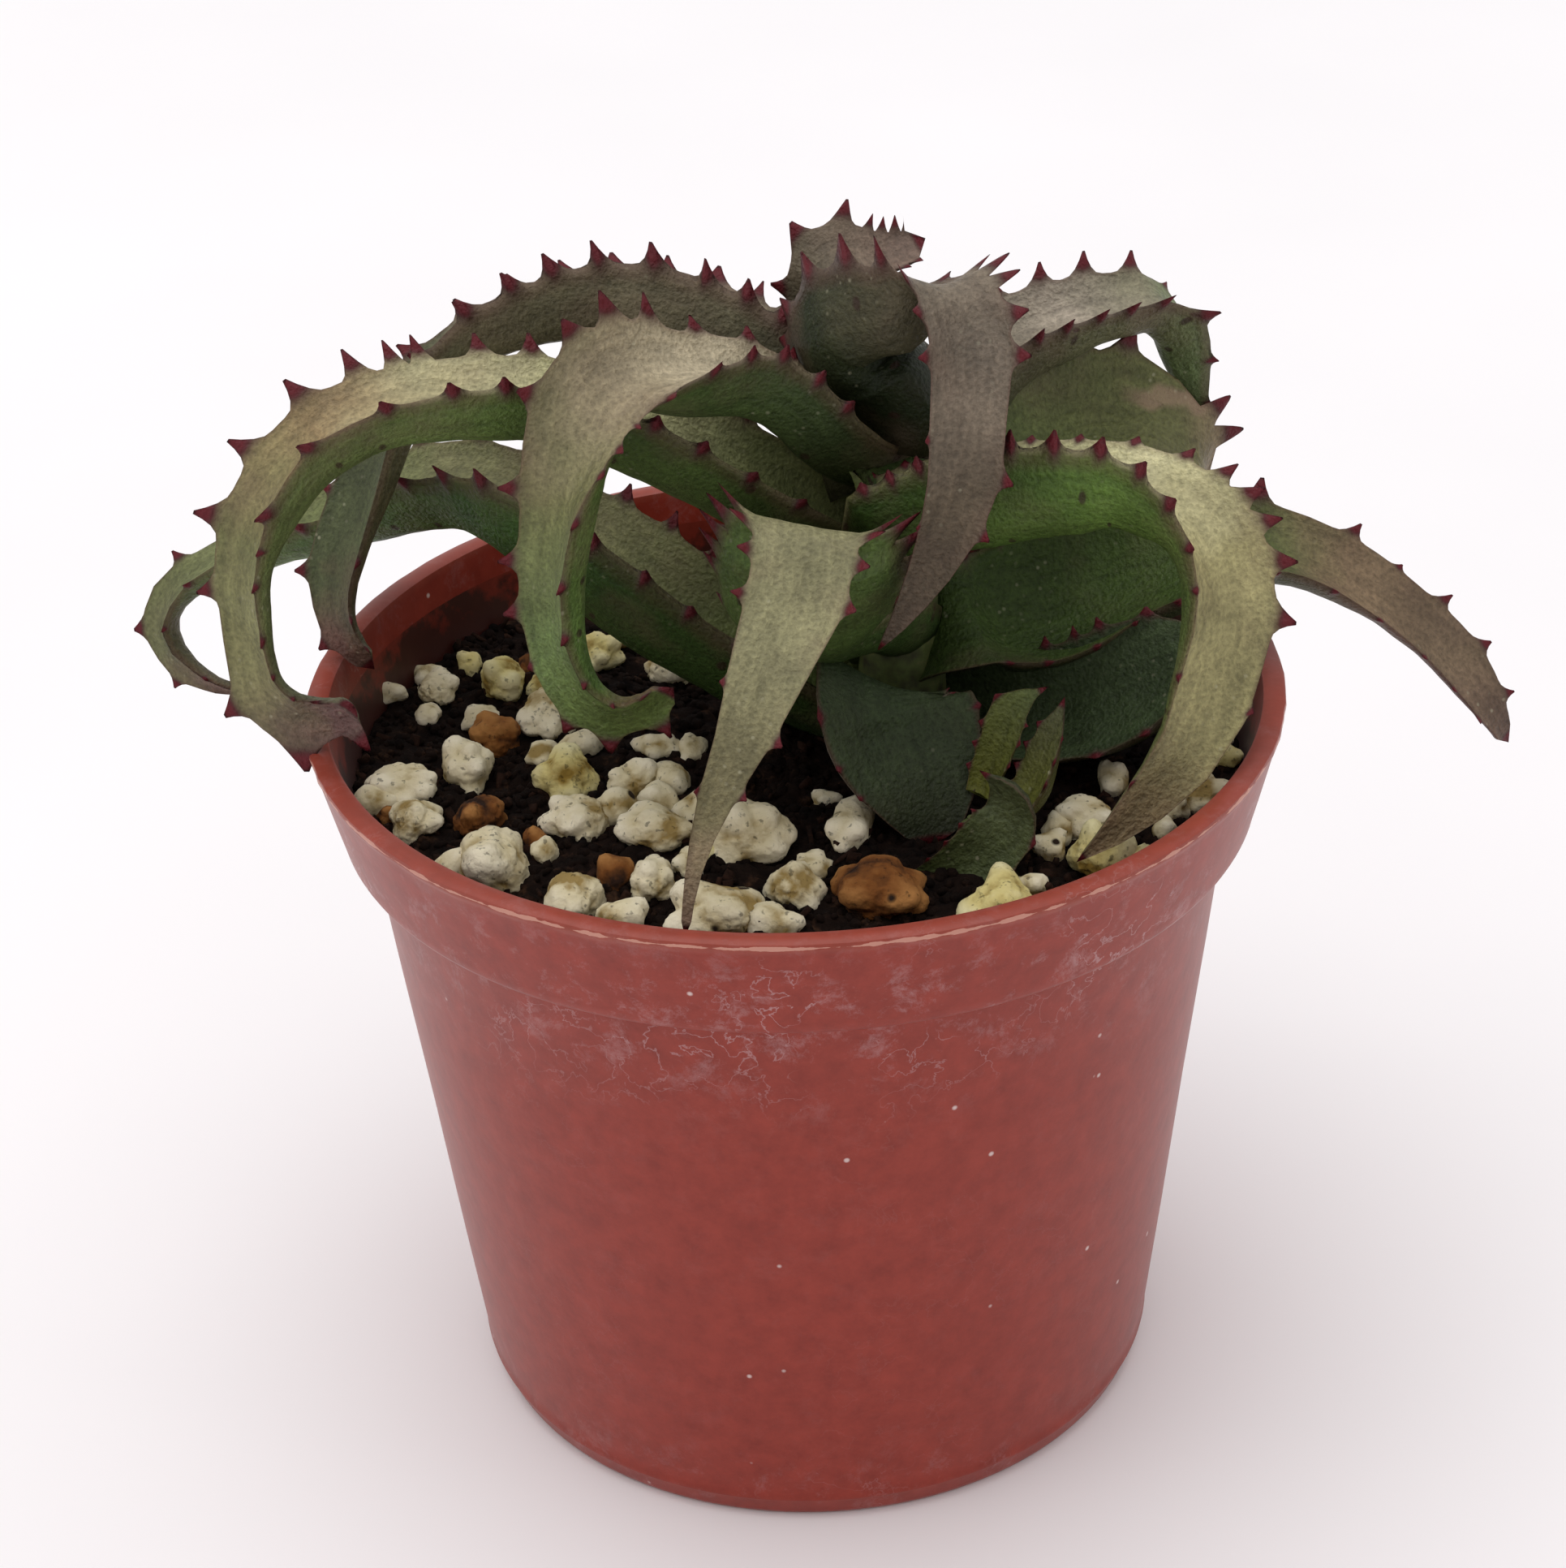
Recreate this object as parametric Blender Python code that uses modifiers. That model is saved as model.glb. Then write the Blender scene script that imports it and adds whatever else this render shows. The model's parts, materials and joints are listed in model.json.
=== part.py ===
"""Potted aloe: a small toothed rosette with an offset, in a round nursery pot.

Metres, +Z up. The origin is on the pot's axis, on the surface that it stands on.
+X is to the right and -Y towards the viewer.
"""
import math
import random

import bmesh
import bpy
import numpy as np
from mathutils import Matrix, Vector, noise

MM = 0.001
GAP = 0.3                      # clearance between neighbouring pieces, mm

# Pot, mm
POT_HEIGHT = 68.0
RIM_RADIUS = 42.5
RIM_WIDTH = 2.0
COLLAR_HEIGHT = 10.3
COLLAR_FOOT_RADIUS = 40.1
BODY_TOP_RADIUS = 37.8
BODY_FOOT_RADIUS = 31.1
FOOT_RADIUS = 30.5
FOOT_LINE_HEIGHT = 2.3
WALL = 1.1
FLOOR = 2.2
RECESS = 1.2                   # hollow under the floor, between the foot ring and the middle pad
PAD_RADIUS = 9.0
DRAIN_COUNT = 6
DRAIN_RADIUS = 2.6
DRAIN_CIRCLE = 18.0
SECTORS = 48

# Soil, mm
SOIL_TOP = 60.0
SOIL_SWELL = 0.9
SOIL_RINGS = (8.0, 16.0, 23.0, 29.0, 34.0, 37.0)

# Stems, mm: centre at the soil, centre at the top, radii and heights
STEM_FOOT = (9.5, 3.0, 50.0)
STEM_TOP = (9.5, 5.5, 90.0)
STEM_RADII = (5.0, 2.4)
OFFSET_FOOT = (13.0, -15.5, 52.0)
OFFSET_TOP = (14.5, -16.0, 63.0)
OFFSET_RADII = (1.7, 1.0)
STEM_SIDES = 12

# Leaves
TOOTH_PITCH = 4.8              # mm between teeth along a margin
TOOTH_ROOT = 1.15              # half the length of a tooth's root, mm
TOOTH_LEAN = 0.35              # how far a tooth leans towards the leaf tip, per mm of height
TIP_THICKNESS = 0.6            # thinnest blade, mm
THICKEST = 3.0                 # thickest body under the channel, mm
ROUNDING = 6                   # samples of a leaf's route that are averaged on each side
BEND_SPAN = 1.8                # length over which a leaf's bend is taken, mm
BEND_ROOM = 0.65               # share of a bend's radius that the leaf's body may fill

# Each leaf: heading in degrees seen from above, depth of its channel, height of its
# largest teeth, colour, and the route of its middle from the stem to the tip as
# (x, y, z, half width, roll in degrees), all in mm.
GREEN = "#4C6638"
GREY_GREEN = "#7C7A5E"
PURPLE = "#5B5049"
DEEP_GREEN = "#34463A"

LEAVES = {
    "leaf_left_arch": (188, 0.85, 2.1, GREY_GREEN, (
        (5, 2.5, 84, 2.8, 15), (-3.5, 0, 90.5, 3.7, 15), (-10, -1, 95, 3.9, 10),
        (-19, -2, 98.5, 3.9, -10), (-26.5, -3.5, 99.5, 3.6, -5), (-34, -5, 98.5, 3.4, 0),
        (-39.5, -6, 95.5, 3.2, 10), (-43.5, -7, 91, 3.1, 15), (-46, -8, 85, 3.1, 30),
        (-46.5, -9, 78, 2.7, 40), (-45.5, -9.5, 74, 2.5, 50), (-43, -10, 71.5, 2.4, 65),
        (-40, -10, 71, 1.6, 75), (-37, -11, 72, 0.4, 80))),
    "leaf_low_left": (165, 0.95, 1.9, GREEN, (
        (5, 4, 67, 2.6, 15), (-5.5, 5, 73, 3.9, 5), (-11.5, 7, 77.5, 4.4, 0),
        (-17.5, 10, 80.5, 4.3, -5), (-24, 13, 83, 4.0, -5), (-30, 17, 82.5, 3.8, 0),
        (-36, 19.5, 80, 3.6, 5), (-42.5, 21, 76.5, 3.1, 10), (-49.5, 22, 73, 2.4, 10),
        (-55, 22, 70, 2.0, 20), (-58.5, 22, 66.5, 1.9, 45), (-59, 21.5, 63, 1.7, 55),
        (-57, 20, 60.5, 1.5, 65), (-52, 19, 58.5, 0.4, 60))),
    "leaf_front_left": (205, 0.7, 1.9, GREY_GREEN, (
        (6, 0.5, 93, 2.4, 10), (2.5, -0.5, 97, 3.3, 0), (-1.5, -1.5, 100, 4.4, -15),
        (-6.5, -4, 101.5, 4.7, -5), (-11, -7, 102.5, 4.3, 20), (-14.5, -10, 102, 3.9, 40),
        (-17.5, -12.5, 99, 3.8, 35), (-19, -14.5, 94.5, 3.1, 25), (-20, -15.5, 88.5, 2.8, 25),
        (-20, -16.5, 82.5, 2.3, 25), (-18.5, -17.5, 78, 2.2, 35), (-15.5, -18, 75.5, 2.0, 65),
        (-11, -18, 76.5, 0.5, 90))),
    "leaf_back_left": (163, 0.75, 2.2, PURPLE, (
        (7.2, 7, 89.5, 2.0, -10), (3, 11, 94.5, 3.5, -20), (-1, 13, 97, 4.2, -20),
        (-6, 15, 99.5, 4.2, -20), (-10.5, 16, 100.5, 4.2, -20), (-16.5, 17, 100, 4.0, -15),
        (-23, 16.5, 98.5, 3.6, -10), (-28.5, 16, 96.5, 3.4, 5), (-32.5, 15, 93, 3.1, 25),
        (-35.5, 12.5, 88.5, 3.1, 45), (-37.5, 10, 83.5, 3.1, 50), (-39.5, 8, 79, 2.9, 60),
        (-40.5, 7, 75, 2.5, 65), (-40, 6, 71.5, 1.8, 75), (-37.5, 5.5, 68, 0.4, 80))),
    "leaf_front": (262, 0.7, 1.7, GREY_GREEN, (
        (5.5, -3.5, 78, 3.8, -5), (3, -6.5, 82.5, 6.2, -5), (2, -9.5, 87, 6.4, 0),
        (1.5, -13, 90.5, 4.9, 10), (1, -17, 89, 4.3, 10), (0, -20, 86, 3.9, 10),
        (-1.5, -24, 81.5, 3.2, 10), (-4, -27, 77.5, 2.4, 10), (-6, -29, 73, 1.5, 10),
        (-8, -31, 69, 0.9, 10), (-9, -33, 64.5, 0.4, 10))),
    "leaf_top": (295, 0.6, 2.1, PURPLE, (
        (8, 6, 93, 2.4, 0), (6.8, 6, 96, 3.3, 10), (6.2, 5, 99.5, 3.8, 15),
        (7.5, 3, 103, 3.9, 25), (10, 0, 105.5, 3.2, 25), (13, -3, 106, 3.2, 5),
        (14.5, -6, 104, 3.4, -10), (15, -9, 101.5, 3.3, -20), (14.5, -11.5, 97.5, 3.1, -20),
        (14, -13.5, 93, 3.0, -25), (11.5, -14.5, 87.5, 2.2, -25), (8, -15.5, 80.5, 0.4, -30))),
    "leaf_crown": (200, 0.5, 1.8, PURPLE, (
        (7, 9.5, 94.5, 2.0, 30), (3.5, 10, 98, 2.5, 15), (2.5, 10.5, 101.5, 2.6, 5),
        (4, 11.5, 104, 2.7, -15), (7, 13, 104, 2.6, -30), (9.5, 14, 103, 1.7, -35),
        (12, 15, 102, 0.4, -20))),
    "leaf_back_right": (25, 0.75, 2.0, GREY_GREEN, (
        (11.8, 7.2, 90.2, 2.0, 5), (17.5, 11, 94.8, 3.3, -5), (21, 13, 96.2, 3.6, -5),
        (25.5, 15, 96.5, 3.3, -10), (30, 17, 96.5, 3.0, -10), (34, 20, 94.5, 2.7, -25),
        (36, 20.5, 90.5, 2.5, -50), (36.5, 21, 87.5, 2.3, -65), (36.5, 21.5, 83.5, 2.0, -70),
        (36, 21.5, 80, 1.4, -70), (34.5, 21, 76.5, 0.4, -65))),
    "leaf_broad_right": (20, 0.5, 2.1, GREY_GREEN, (
        (13.3, 4.5, 83.5, 2.2, -30), (18.5, 6.5, 85.5, 3.9, -30), (22, 9.5, 86.5, 4.9, -35),
        (27, 12, 87.5, 5.5, -40), (32, 12.8, 87, 4.8, -45), (35.5, 13.3, 84.5, 3.6, -35),
        (37, 15.5, 82, 3.1, -25), (36, 16.5, 77.5, 2.3, -25), (34.5, 16, 72.5, 0.4, -30))),
    "leaf_front_right": (345, 0.95, 1.9, GREEN, (
        (4, -3.5, 87, 2.6, 10), (9, -4, 89.5, 3.6, 15), (15, -4.5, 91.5, 4.2, 20),
        (22, -6, 92.5, 4.2, 20), (28, -8, 92.5, 4.0, 15), (31.5, -10, 91, 4.0, 0),
        (34.5, -12, 88.5, 4.0, -20), (36, -14, 85, 4.1, -35), (36, -16, 80.5, 4.1, -45),
        (34.5, -18, 76, 3.8, -55), (32.5, -20, 71.5, 3.2, -65), (28.5, -22, 67.5, 2.2, -75),
        (23.5, -24, 64, 0.4, -85))),
    "leaf_far_right": (8, 0.5, 2.0, PURPLE, (
        (14.2, 0.5, 74.5, 2.6, -30), (17.5, 1.5, 75, 4.2, -35), (22, 3, 75, 4.9, -35),
        (28.5, 4.5, 76.5, 4.5, -25), (35, 4, 78, 4.0, -20), (41.5, 4, 78, 3.6, -15),
        (46, 4, 76.5, 3.2, -20), (50.5, 4, 74, 2.8, -30), (55, 4, 70, 2.6, -40),
        (58.5, 4, 66, 2.2, -50), (61, 3, 62.5, 1.6, -55), (63.5, 3, 57.5, 0.4, -50))),
    "leaf_low_right": (350, 0.5, 1.3, DEEP_GREEN, (
        (16, -1.5, 65, 2.6, -25), (20.5, -3, 65.5, 4.5, -40), (26, -4.5, 67.5, 5.1, -40),
        (30.5, -4.5, 70, 4.6, -35), (34, -5, 71, 2.8, -30), (37, -6, 70.5, 0.5, -15))),
    "leaf_low_front": (262, 0.15, 1.0, DEEP_GREEN, (
        (8.5, -3.5, 69, 3.4, 0), (8, -7, 73, 5.2, 10), (8.5, -10.5, 72.5, 6.2, 15),
        (9.5, -12.5, 69.5, 5.0, 15), (10, -14, 65.5, 3.0, 10), (9.5, -15, 62.5, 0.5, 15))),
    "leaf_back": (75, 0.6, 1.9, GREEN, (
        (10, 8.3, 84, 2.4, 0), (12, 14.5, 87.5, 3.6, 0), (14, 20, 88.5, 3.9, 0),
        (16, 26, 86, 3.7, 0), (17, 31, 81.5, 3.3, 0), (17.5, 35, 76, 2.8, 0),
        (17.5, 37.5, 71.5, 1.8, 0), (17, 38.5, 69.5, 0.4, 0))),
    "leaf_low_back": (118, 0.6, 1.8, DEEP_GREEN, (
        (8.5, 8.5, 72, 2.4, 0), (5.5, 13.5, 73.5, 3.9, 0), (2, 19.5, 73.5, 4.2, 0),
        (-1, 25, 72, 3.8, 0), (-3.5, 30, 69, 2.6, 0), (-5, 33.5, 65.5, 0.4, 0))),
    "offset_leaf_front": (320, 0.4, 0.7, DEEP_GREEN, (
        (13.5, -18.5, 62.5, 1.4, -75), (15, -20, 63, 2.4, -85), (16.5, -20.5, 64.5, 3.0, -95),
        (18, -19.5, 67, 2.6, -105), (17.5, -18.5, 69.5, 1.4, -110), (17, -18, 71, 0.4, -105))),
    "offset_leaf_left": (60, 0.4, 0.7, GREEN, (
        (15, -14, 64, 1.1, -5), (16, -13.5, 66.5, 1.5, 0), (17, -13, 69, 1.6, -5),
        (17.8, -12.5, 71, 1.6, -15), (20, -12, 72.5, 0.4, -20))),
    "offset_leaf_right": (20, 0.4, 0.7, GREEN, (
        (17.2, -16, 63.5, 1.2, -20), (18.8, -15.5, 65, 1.6, -15), (20, -14.5, 67, 1.6, -15),
        (21, -13.5, 69, 1.3, -25), (22, -12.5, 71, 0.4, -30))),
}

# Stones seated in the soil: (x, y, size, stretch, kind), mm
WHITE, CREAM, CLAY = "pumice_white", "pumice_cream", "clay_stone"
STONES = (
    (-32.5, 14.0, 4.0, 1.2, WHITE), (-26.5, 15.0, 5.0, 1.0, CREAM),
    (-22.0, 9.0, 5.4, 1.3, WHITE), (-29.0, -0.5, 5.2, 1.3, WHITE),
    (-34.2, -4.0, 5.0, 1.3, WHITE), (-33.0, -10.0, 4.6, 1.2, WHITE),
    (-26.0, -17.0, 6.8, 1.1, WHITE), (-19.0, -22.5, 5.2, 1.2, WHITE),
    (-20.0, -3.0, 5.7, 1.1, CREAM), (-18.5, -10.5, 5.2, 1.2, WHITE),
    (-14.3, -4.0, 4.4, 1.2, WHITE), (-12.0, -13.0, 5.0, 1.2, WHITE),
    (-12.5, -20.5, 4.6, 1.1, WHITE), (-5.0, -14.5, 7.2, 1.3, WHITE),
    (-7.0, -26.5, 6.8, 1.2, WHITE), (-18.0, 20.0, 4.3, 1.1, CREAM),
    (-11.0, 16.5, 4.6, 1.3, WHITE), (-0.8, -22.6, 4.4, 1.3, WHITE),
    (16.0, -27.5, 6.0, 1.3, CREAM), (24.5, -13.0, 4.3, 1.4, WHITE),
    (25.0, -19.5, 5.6, 1.2, CREAM), (34.0, -9.5, 4.4, 1.3, WHITE),
    (36.0, 0.5, 3.9, 1.3, WHITE), (28.0, 21.0, 5.0, 1.2, WHITE),
    (5.0, 31.0, 5.6, 1.2, WHITE), (15.0, 24.0, 4.8, 1.1, CREAM),
    (-26.9, 5.6, 4.6, 1.1, CLAY), (-27.5, -9.5, 4.3, 1.1, CLAY),
    (6.0, -23.5, 6.4, 1.2, CLAY), (-4.0, 26.0, 5.2, 1.1, CLAY),
)
STONE_COLOURS = {WHITE: "#E9E2CF", CREAM: "#E3D7A4", CLAY: "#8A5A30"}
STONE_SUNK = 0.12              # how far a stone's middle stands above the soil, per mm of size


def clear_scene():
    for item in list(bpy.data.objects):
        bpy.data.objects.remove(item, do_unlink=True)


def make_collection(name):
    group = bpy.data.collections.new(name)
    bpy.context.scene.collection.children.link(group)
    return group


def linear(hex_colour):
    """An sRGB hex colour as the linear values that a shader takes."""
    channels = [int(hex_colour[i:i + 2], 16) / 255 for i in (1, 3, 5)]
    return [c / 12.92 if c <= 0.04045 else ((c + 0.055) / 1.055) ** 2.4 for c in channels]


def make_material(name, hex_colour, roughness):
    mat = bpy.data.materials.new(name)
    mat.use_nodes = True
    shader = mat.node_tree.nodes["Principled BSDF"]
    shader.inputs["Base Color"].default_value = (*linear(hex_colour), 1.0)
    shader.inputs["Roughness"].default_value = roughness
    shader.inputs["Metallic"].default_value = 0.0
    mat.diffuse_color = (*linear(hex_colour), 1.0)
    return mat


def add_mesh(name, verts, faces, group, material=None, smooth=False):
    """A mesh object from points in mm."""
    mesh = bpy.data.meshes.new(name)
    mesh.from_pydata([Vector(v) * MM for v in verts], [], faces)
    mesh.update()
    obj = bpy.data.objects.new(name, mesh)
    group.objects.link(obj)
    if material:
        mesh.materials.append(material)
    for face in mesh.polygons:
        face.use_smooth = smooth
    return obj


def turned(name, profile, group, material):
    """A closed solid of revolution from a profile of (radius, height) points in mm."""
    mesh = bpy.data.meshes.new(name)
    verts = [(radius * MM, 0.0, height * MM) for radius, height in profile]
    mesh.from_pydata(verts, [(i, i + 1) for i in range(len(verts) - 1)], [])
    obj = bpy.data.objects.new(name, mesh)
    group.objects.link(obj)
    screw = obj.modifiers.new("turn", "SCREW")
    screw.axis = "Z"
    screw.angle = math.tau
    screw.steps = SECTORS
    screw.render_steps = SECTORS
    screw.use_merge_vertices = True
    screw.merge_threshold = 0.00002
    screw.use_smooth_shade = True
    mesh.materials.append(material)
    return obj


def cut(obj, cutters):
    """Cut every cutter in a collection out of the object."""
    boolean = obj.modifiers.new("cut", "BOOLEAN")
    boolean.operation = "DIFFERENCE"
    boolean.operand_type = "COLLECTION"
    boolean.collection = cutters
    boolean.solver = "EXACT"


def hide_cutter(obj):
    obj.hide_render = True
    obj.display_type = "WIRE"


def collar_radius(height):
    """Outer radius of the collar at a height."""
    share = (POT_HEIGHT - height) / COLLAR_HEIGHT
    return RIM_RADIUS + (COLLAR_FOOT_RADIUS - RIM_RADIUS) * share


def body_radius(height):
    """Outer radius of the tapered body at a height."""
    share = height / (POT_HEIGHT - COLLAR_HEIGHT)
    return BODY_FOOT_RADIUS + (BODY_TOP_RADIUS - BODY_FOOT_RADIUS) * share


def build_pot(group, cutters, material):
    step = POT_HEIGHT - COLLAR_HEIGHT
    outside = [
        (RIM_RADIUS - RIM_WIDTH, POT_HEIGHT),
        (RIM_RADIUS - 0.5, POT_HEIGHT),
        (RIM_RADIUS, POT_HEIGHT - 0.5),
        (RIM_RADIUS - 0.25, POT_HEIGHT - 1.2),
        (collar_radius(step + 0.9), step + 0.9),
        (COLLAR_FOOT_RADIUS - 0.7, step),
        (BODY_TOP_RADIUS, step - 0.3),
        (body_radius(FOOT_LINE_HEIGHT) + 0.05, FOOT_LINE_HEIGHT + 0.3),
        (BODY_FOOT_RADIUS + 0.15, FOOT_LINE_HEIGHT - 0.2),
        (FOOT_RADIUS + 0.1, 0.5),
        (FOOT_RADIUS - 0.5, 0.0),
        (FOOT_RADIUS - 3.0, 0.0),
        (FOOT_RADIUS - 3.8, RECESS),
        (PAD_RADIUS + 1.0, RECESS),
        (PAD_RADIUS, 0.0),
        (0.0, 0.0),
    ]
    inside = [
        (0.0, FLOOR + RECESS),
        (BODY_FOOT_RADIUS - WALL - 1.2, FLOOR + RECESS),
        (body_radius(FLOOR + 2.0) - WALL, FLOOR + 2.0),
        (BODY_TOP_RADIUS - WALL, step - 0.8),
        (COLLAR_FOOT_RADIUS - WALL - 0.3, step + 0.6),
    ]
    pot = turned("pot", outside + inside + outside[:1], group, material)
    depth = (FLOOR + RECESS) * 3
    for i in range(DRAIN_COUNT):
        angle = math.tau * i / DRAIN_COUNT
        hole = bpy.data.meshes.new(f"drain_cutter_{i}")
        shape = bmesh.new()
        bmesh.ops.create_cone(shape, cap_ends=True, segments=16, radius1=DRAIN_RADIUS * MM,
                              radius2=DRAIN_RADIUS * MM, depth=depth * MM)
        shape.to_mesh(hole)
        shape.free()
        cutter = bpy.data.objects.new(hole.name, hole)
        cutter.location = (DRAIN_CIRCLE * math.cos(angle) * MM,
                           DRAIN_CIRCLE * math.sin(angle) * MM, 0.0)
        hide_cutter(cutter)
        cutters.objects.link(cutter)
    cut(pot, cutters)
    return pot


def soil_height(x, y):
    """Height of the uneven soil surface, mm."""
    wave = noise.noise(Vector((x / 11.0, y / 11.0, 3.0)))
    fine = noise.noise(Vector((x / 4.5, y / 4.5, 9.0)))
    return SOIL_TOP + SOIL_SWELL * wave + 0.35 * fine


def build_soil(group, cutters, material):
    """The soil that fills the pot, with plain holes for the stems and seats for the stones."""
    step = POT_HEIGHT - COLLAR_HEIGHT
    fit = 1.0 / math.cos(math.pi / SECTORS)
    top_radius = COLLAR_FOOT_RADIUS - WALL - 0.3 + (SOIL_TOP - step - 1.6) * 0.18 - GAP * fit
    sides = [
        (COLLAR_FOOT_RADIUS - WALL - 0.3 - GAP * fit, step + 0.6 + GAP),
        (BODY_TOP_RADIUS - WALL - GAP * fit, step - 0.8 + GAP),
        (body_radius(FLOOR + 2.0) - WALL - GAP * fit, FLOOR + 2.0 + GAP),
        (BODY_FOOT_RADIUS - WALL - 1.5 - GAP * fit, FLOOR + RECESS + GAP),
    ]
    verts = [(0.0, 0.0, soil_height(0.0, 0.0))]
    for radius in SOIL_RINGS + (top_radius,):
        for i in range(SECTORS):
            angle = math.tau * i / SECTORS
            x, y = radius * math.cos(angle), radius * math.sin(angle)
            verts.append((x, y, soil_height(x, y) - (0.5 if radius == top_radius else 0.0)))
    for radius, height in sides:
        for i in range(SECTORS):
            angle = math.tau * i / SECTORS
            verts.append((radius * math.cos(angle), radius * math.sin(angle), height))
    verts.append((0.0, 0.0, sides[-1][1]))
    last = len(verts) - 1
    faces = []
    for i in range(SECTORS):
        after = (i + 1) % SECTORS
        faces.append((0, 1 + i, 1 + after))
        for ring in range(len(SOIL_RINGS) + len(sides)):
            low, high = 1 + ring * SECTORS, 1 + (ring + 1) * SECTORS
            faces.append((low + i, high + i, high + after, low + after))
        faces.append((last, last - SECTORS + after, last - SECTORS + i))
    soil = add_mesh("soil", verts, faces, group, material)
    cut(soil, cutters)
    return soil


def tapered_rod(name, foot, top, radii, group, material=None, grow=0.0, rounded=True):
    """A slim stem between two points, rounded at its top."""
    foot, top = Vector(foot), Vector(top)
    axis = (top - foot).normalized()
    side = axis.cross(Vector((0.0, 1.0, 0.0))).normalized()
    other = axis.cross(side)
    stations = [(-grow, radii[0] + grow), ((top - foot).length - radii[1] * 0.8, radii[1] + grow),
                ((top - foot).length, radii[1] * 0.5 + grow)]
    if not rounded:
        stations = [stations[0], ((top - foot).length + grow, radii[1] + grow)]
    verts = []
    for along, radius in stations:
        for i in range(STEM_SIDES):
            angle = math.tau * i / STEM_SIDES
            spoke = side * math.cos(angle) + other * math.sin(angle)
            verts.append(foot + axis * along + spoke * radius)
    faces = [tuple(reversed(range(STEM_SIDES)))]
    for ring in range(len(stations) - 1):
        for i in range(STEM_SIDES):
            a, b = ring * STEM_SIDES + i, ring * STEM_SIDES + (i + 1) % STEM_SIDES
            faces.append((a, b, b + STEM_SIDES, a + STEM_SIDES))
    faces.append(tuple(range(len(verts) - STEM_SIDES, len(verts))))
    return add_mesh(name, verts, faces, group, material, smooth=material is not None)


def smooth_rows(rows, steps=16):
    """A smooth curve through rows of numbers whose first three columns are a point."""
    rows = np.array(rows, dtype=float)
    gaps = np.linalg.norm(np.diff(rows[:, :3], axis=0), axis=1) ** 0.75
    knots = np.concatenate([[0.0], np.cumsum(gaps)])
    slopes = np.diff(rows, axis=0) / gaps[:, None]
    tangents = np.empty_like(rows)
    before, after = gaps[:-1, None], gaps[1:, None]
    tangents[1:-1] = (slopes[:-1] * after + slopes[1:] * before) / (before + after)
    tangents[0] = 2 * slopes[0] - tangents[1]
    tangents[-1] = 2 * slopes[-1] - tangents[-2]
    out = []
    for i in range(len(rows) - 1):
        span = knots[i + 1] - knots[i]
        for k in range(steps):
            s = k / steps
            out.append((2 * s ** 3 - 3 * s ** 2 + 1) * rows[i]
                       + (s ** 3 - 2 * s ** 2 + s) * span * tangents[i]
                       + (3 * s ** 2 - 2 * s ** 3) * rows[i + 1]
                       + (s ** 3 - s ** 2) * span * tangents[i + 1])
    out.append(rows[-1])
    out = np.array(out)
    inner = np.stack([blurred(column, ROUNDING) for column in out.T], axis=1)
    ends = np.minimum(np.arange(len(out)), np.arange(len(out))[::-1])[:, None]
    return np.where(ends < ROUNDING, out, inner)


def sample(curve, places):
    """The curve's rows at distances along it."""
    lengths = np.linalg.norm(np.diff(curve[:, :3], axis=0), axis=1)
    along = np.concatenate([[0.0], np.cumsum(lengths)])
    return np.stack([np.interp(places, along, column) for column in curve.T], axis=1)


def leaf_frames(curve, places, heading):
    """Points, unit tangents, sideways and upward directions, half widths along a leaf."""
    length = np.linalg.norm(np.diff(curve[:, :3], axis=0), axis=1).sum()
    rows = sample(curve, places)
    ahead = sample(curve, np.clip(places + 0.4, 0, length))[:, :3]
    behind = sample(curve, np.clip(places - 0.4, 0, length))[:, :3]
    along = ahead - behind
    along /= np.linalg.norm(along, axis=1)[:, None]
    turn = math.radians(heading)
    right = np.array([math.sin(turn), -math.cos(turn), 0.0])
    side = right - (along @ right)[:, None] * along
    side /= np.linalg.norm(side, axis=1)[:, None]
    up = np.cross(side, along)
    roll = np.radians(rows[:, 4])[:, None]
    side, up = side * np.cos(roll) + up * np.sin(roll), up * np.cos(roll) - side * np.sin(roll)
    return rows[:, :3], along, side, up, rows[:, 3]


def blurred(values, reach, take=np.mean):
    """Each value taken together with its neighbours on both sides."""
    wide = np.pad(values, reach, mode="edge")
    return take(np.lib.stride_tricks.sliding_window_view(wide, 2 * reach + 1), axis=1)


def body_room(curve, places, heading):
    """How deep a leaf's body may be before the inside of a bend would fold into itself."""
    length = np.linalg.norm(np.diff(curve[:, :3], axis=0), axis=1).sum()
    fine = np.linspace(BEND_SPAN, length - BEND_SPAN, 120)
    up = leaf_frames(curve, fine, heading)[3]
    ends = sample(curve, fine + BEND_SPAN)[:, :3] + sample(curve, fine - BEND_SPAN)[:, :3]
    bend = (ends - 2 * sample(curve, fine)[:, :3]) / BEND_SPAN ** 2
    room = BEND_ROOM / np.maximum(-(bend * up).sum(axis=1), 0.05)
    return np.interp(places, fine, blurred(blurred(room, 5, np.min), 5))


def tooth_places(length):
    """Where the teeth stand along a margin, and the roots on either side of each."""
    count = max(3, round((length - 3.0) / TOOTH_PITCH))
    tips = 2.4 + (length - 4.6) * np.arange(count) / (count - 1 + 0.6)
    return tips, np.concatenate([[0.0], tips - TOOTH_ROOT, tips, tips + TOOTH_ROOT, [length]])


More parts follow.
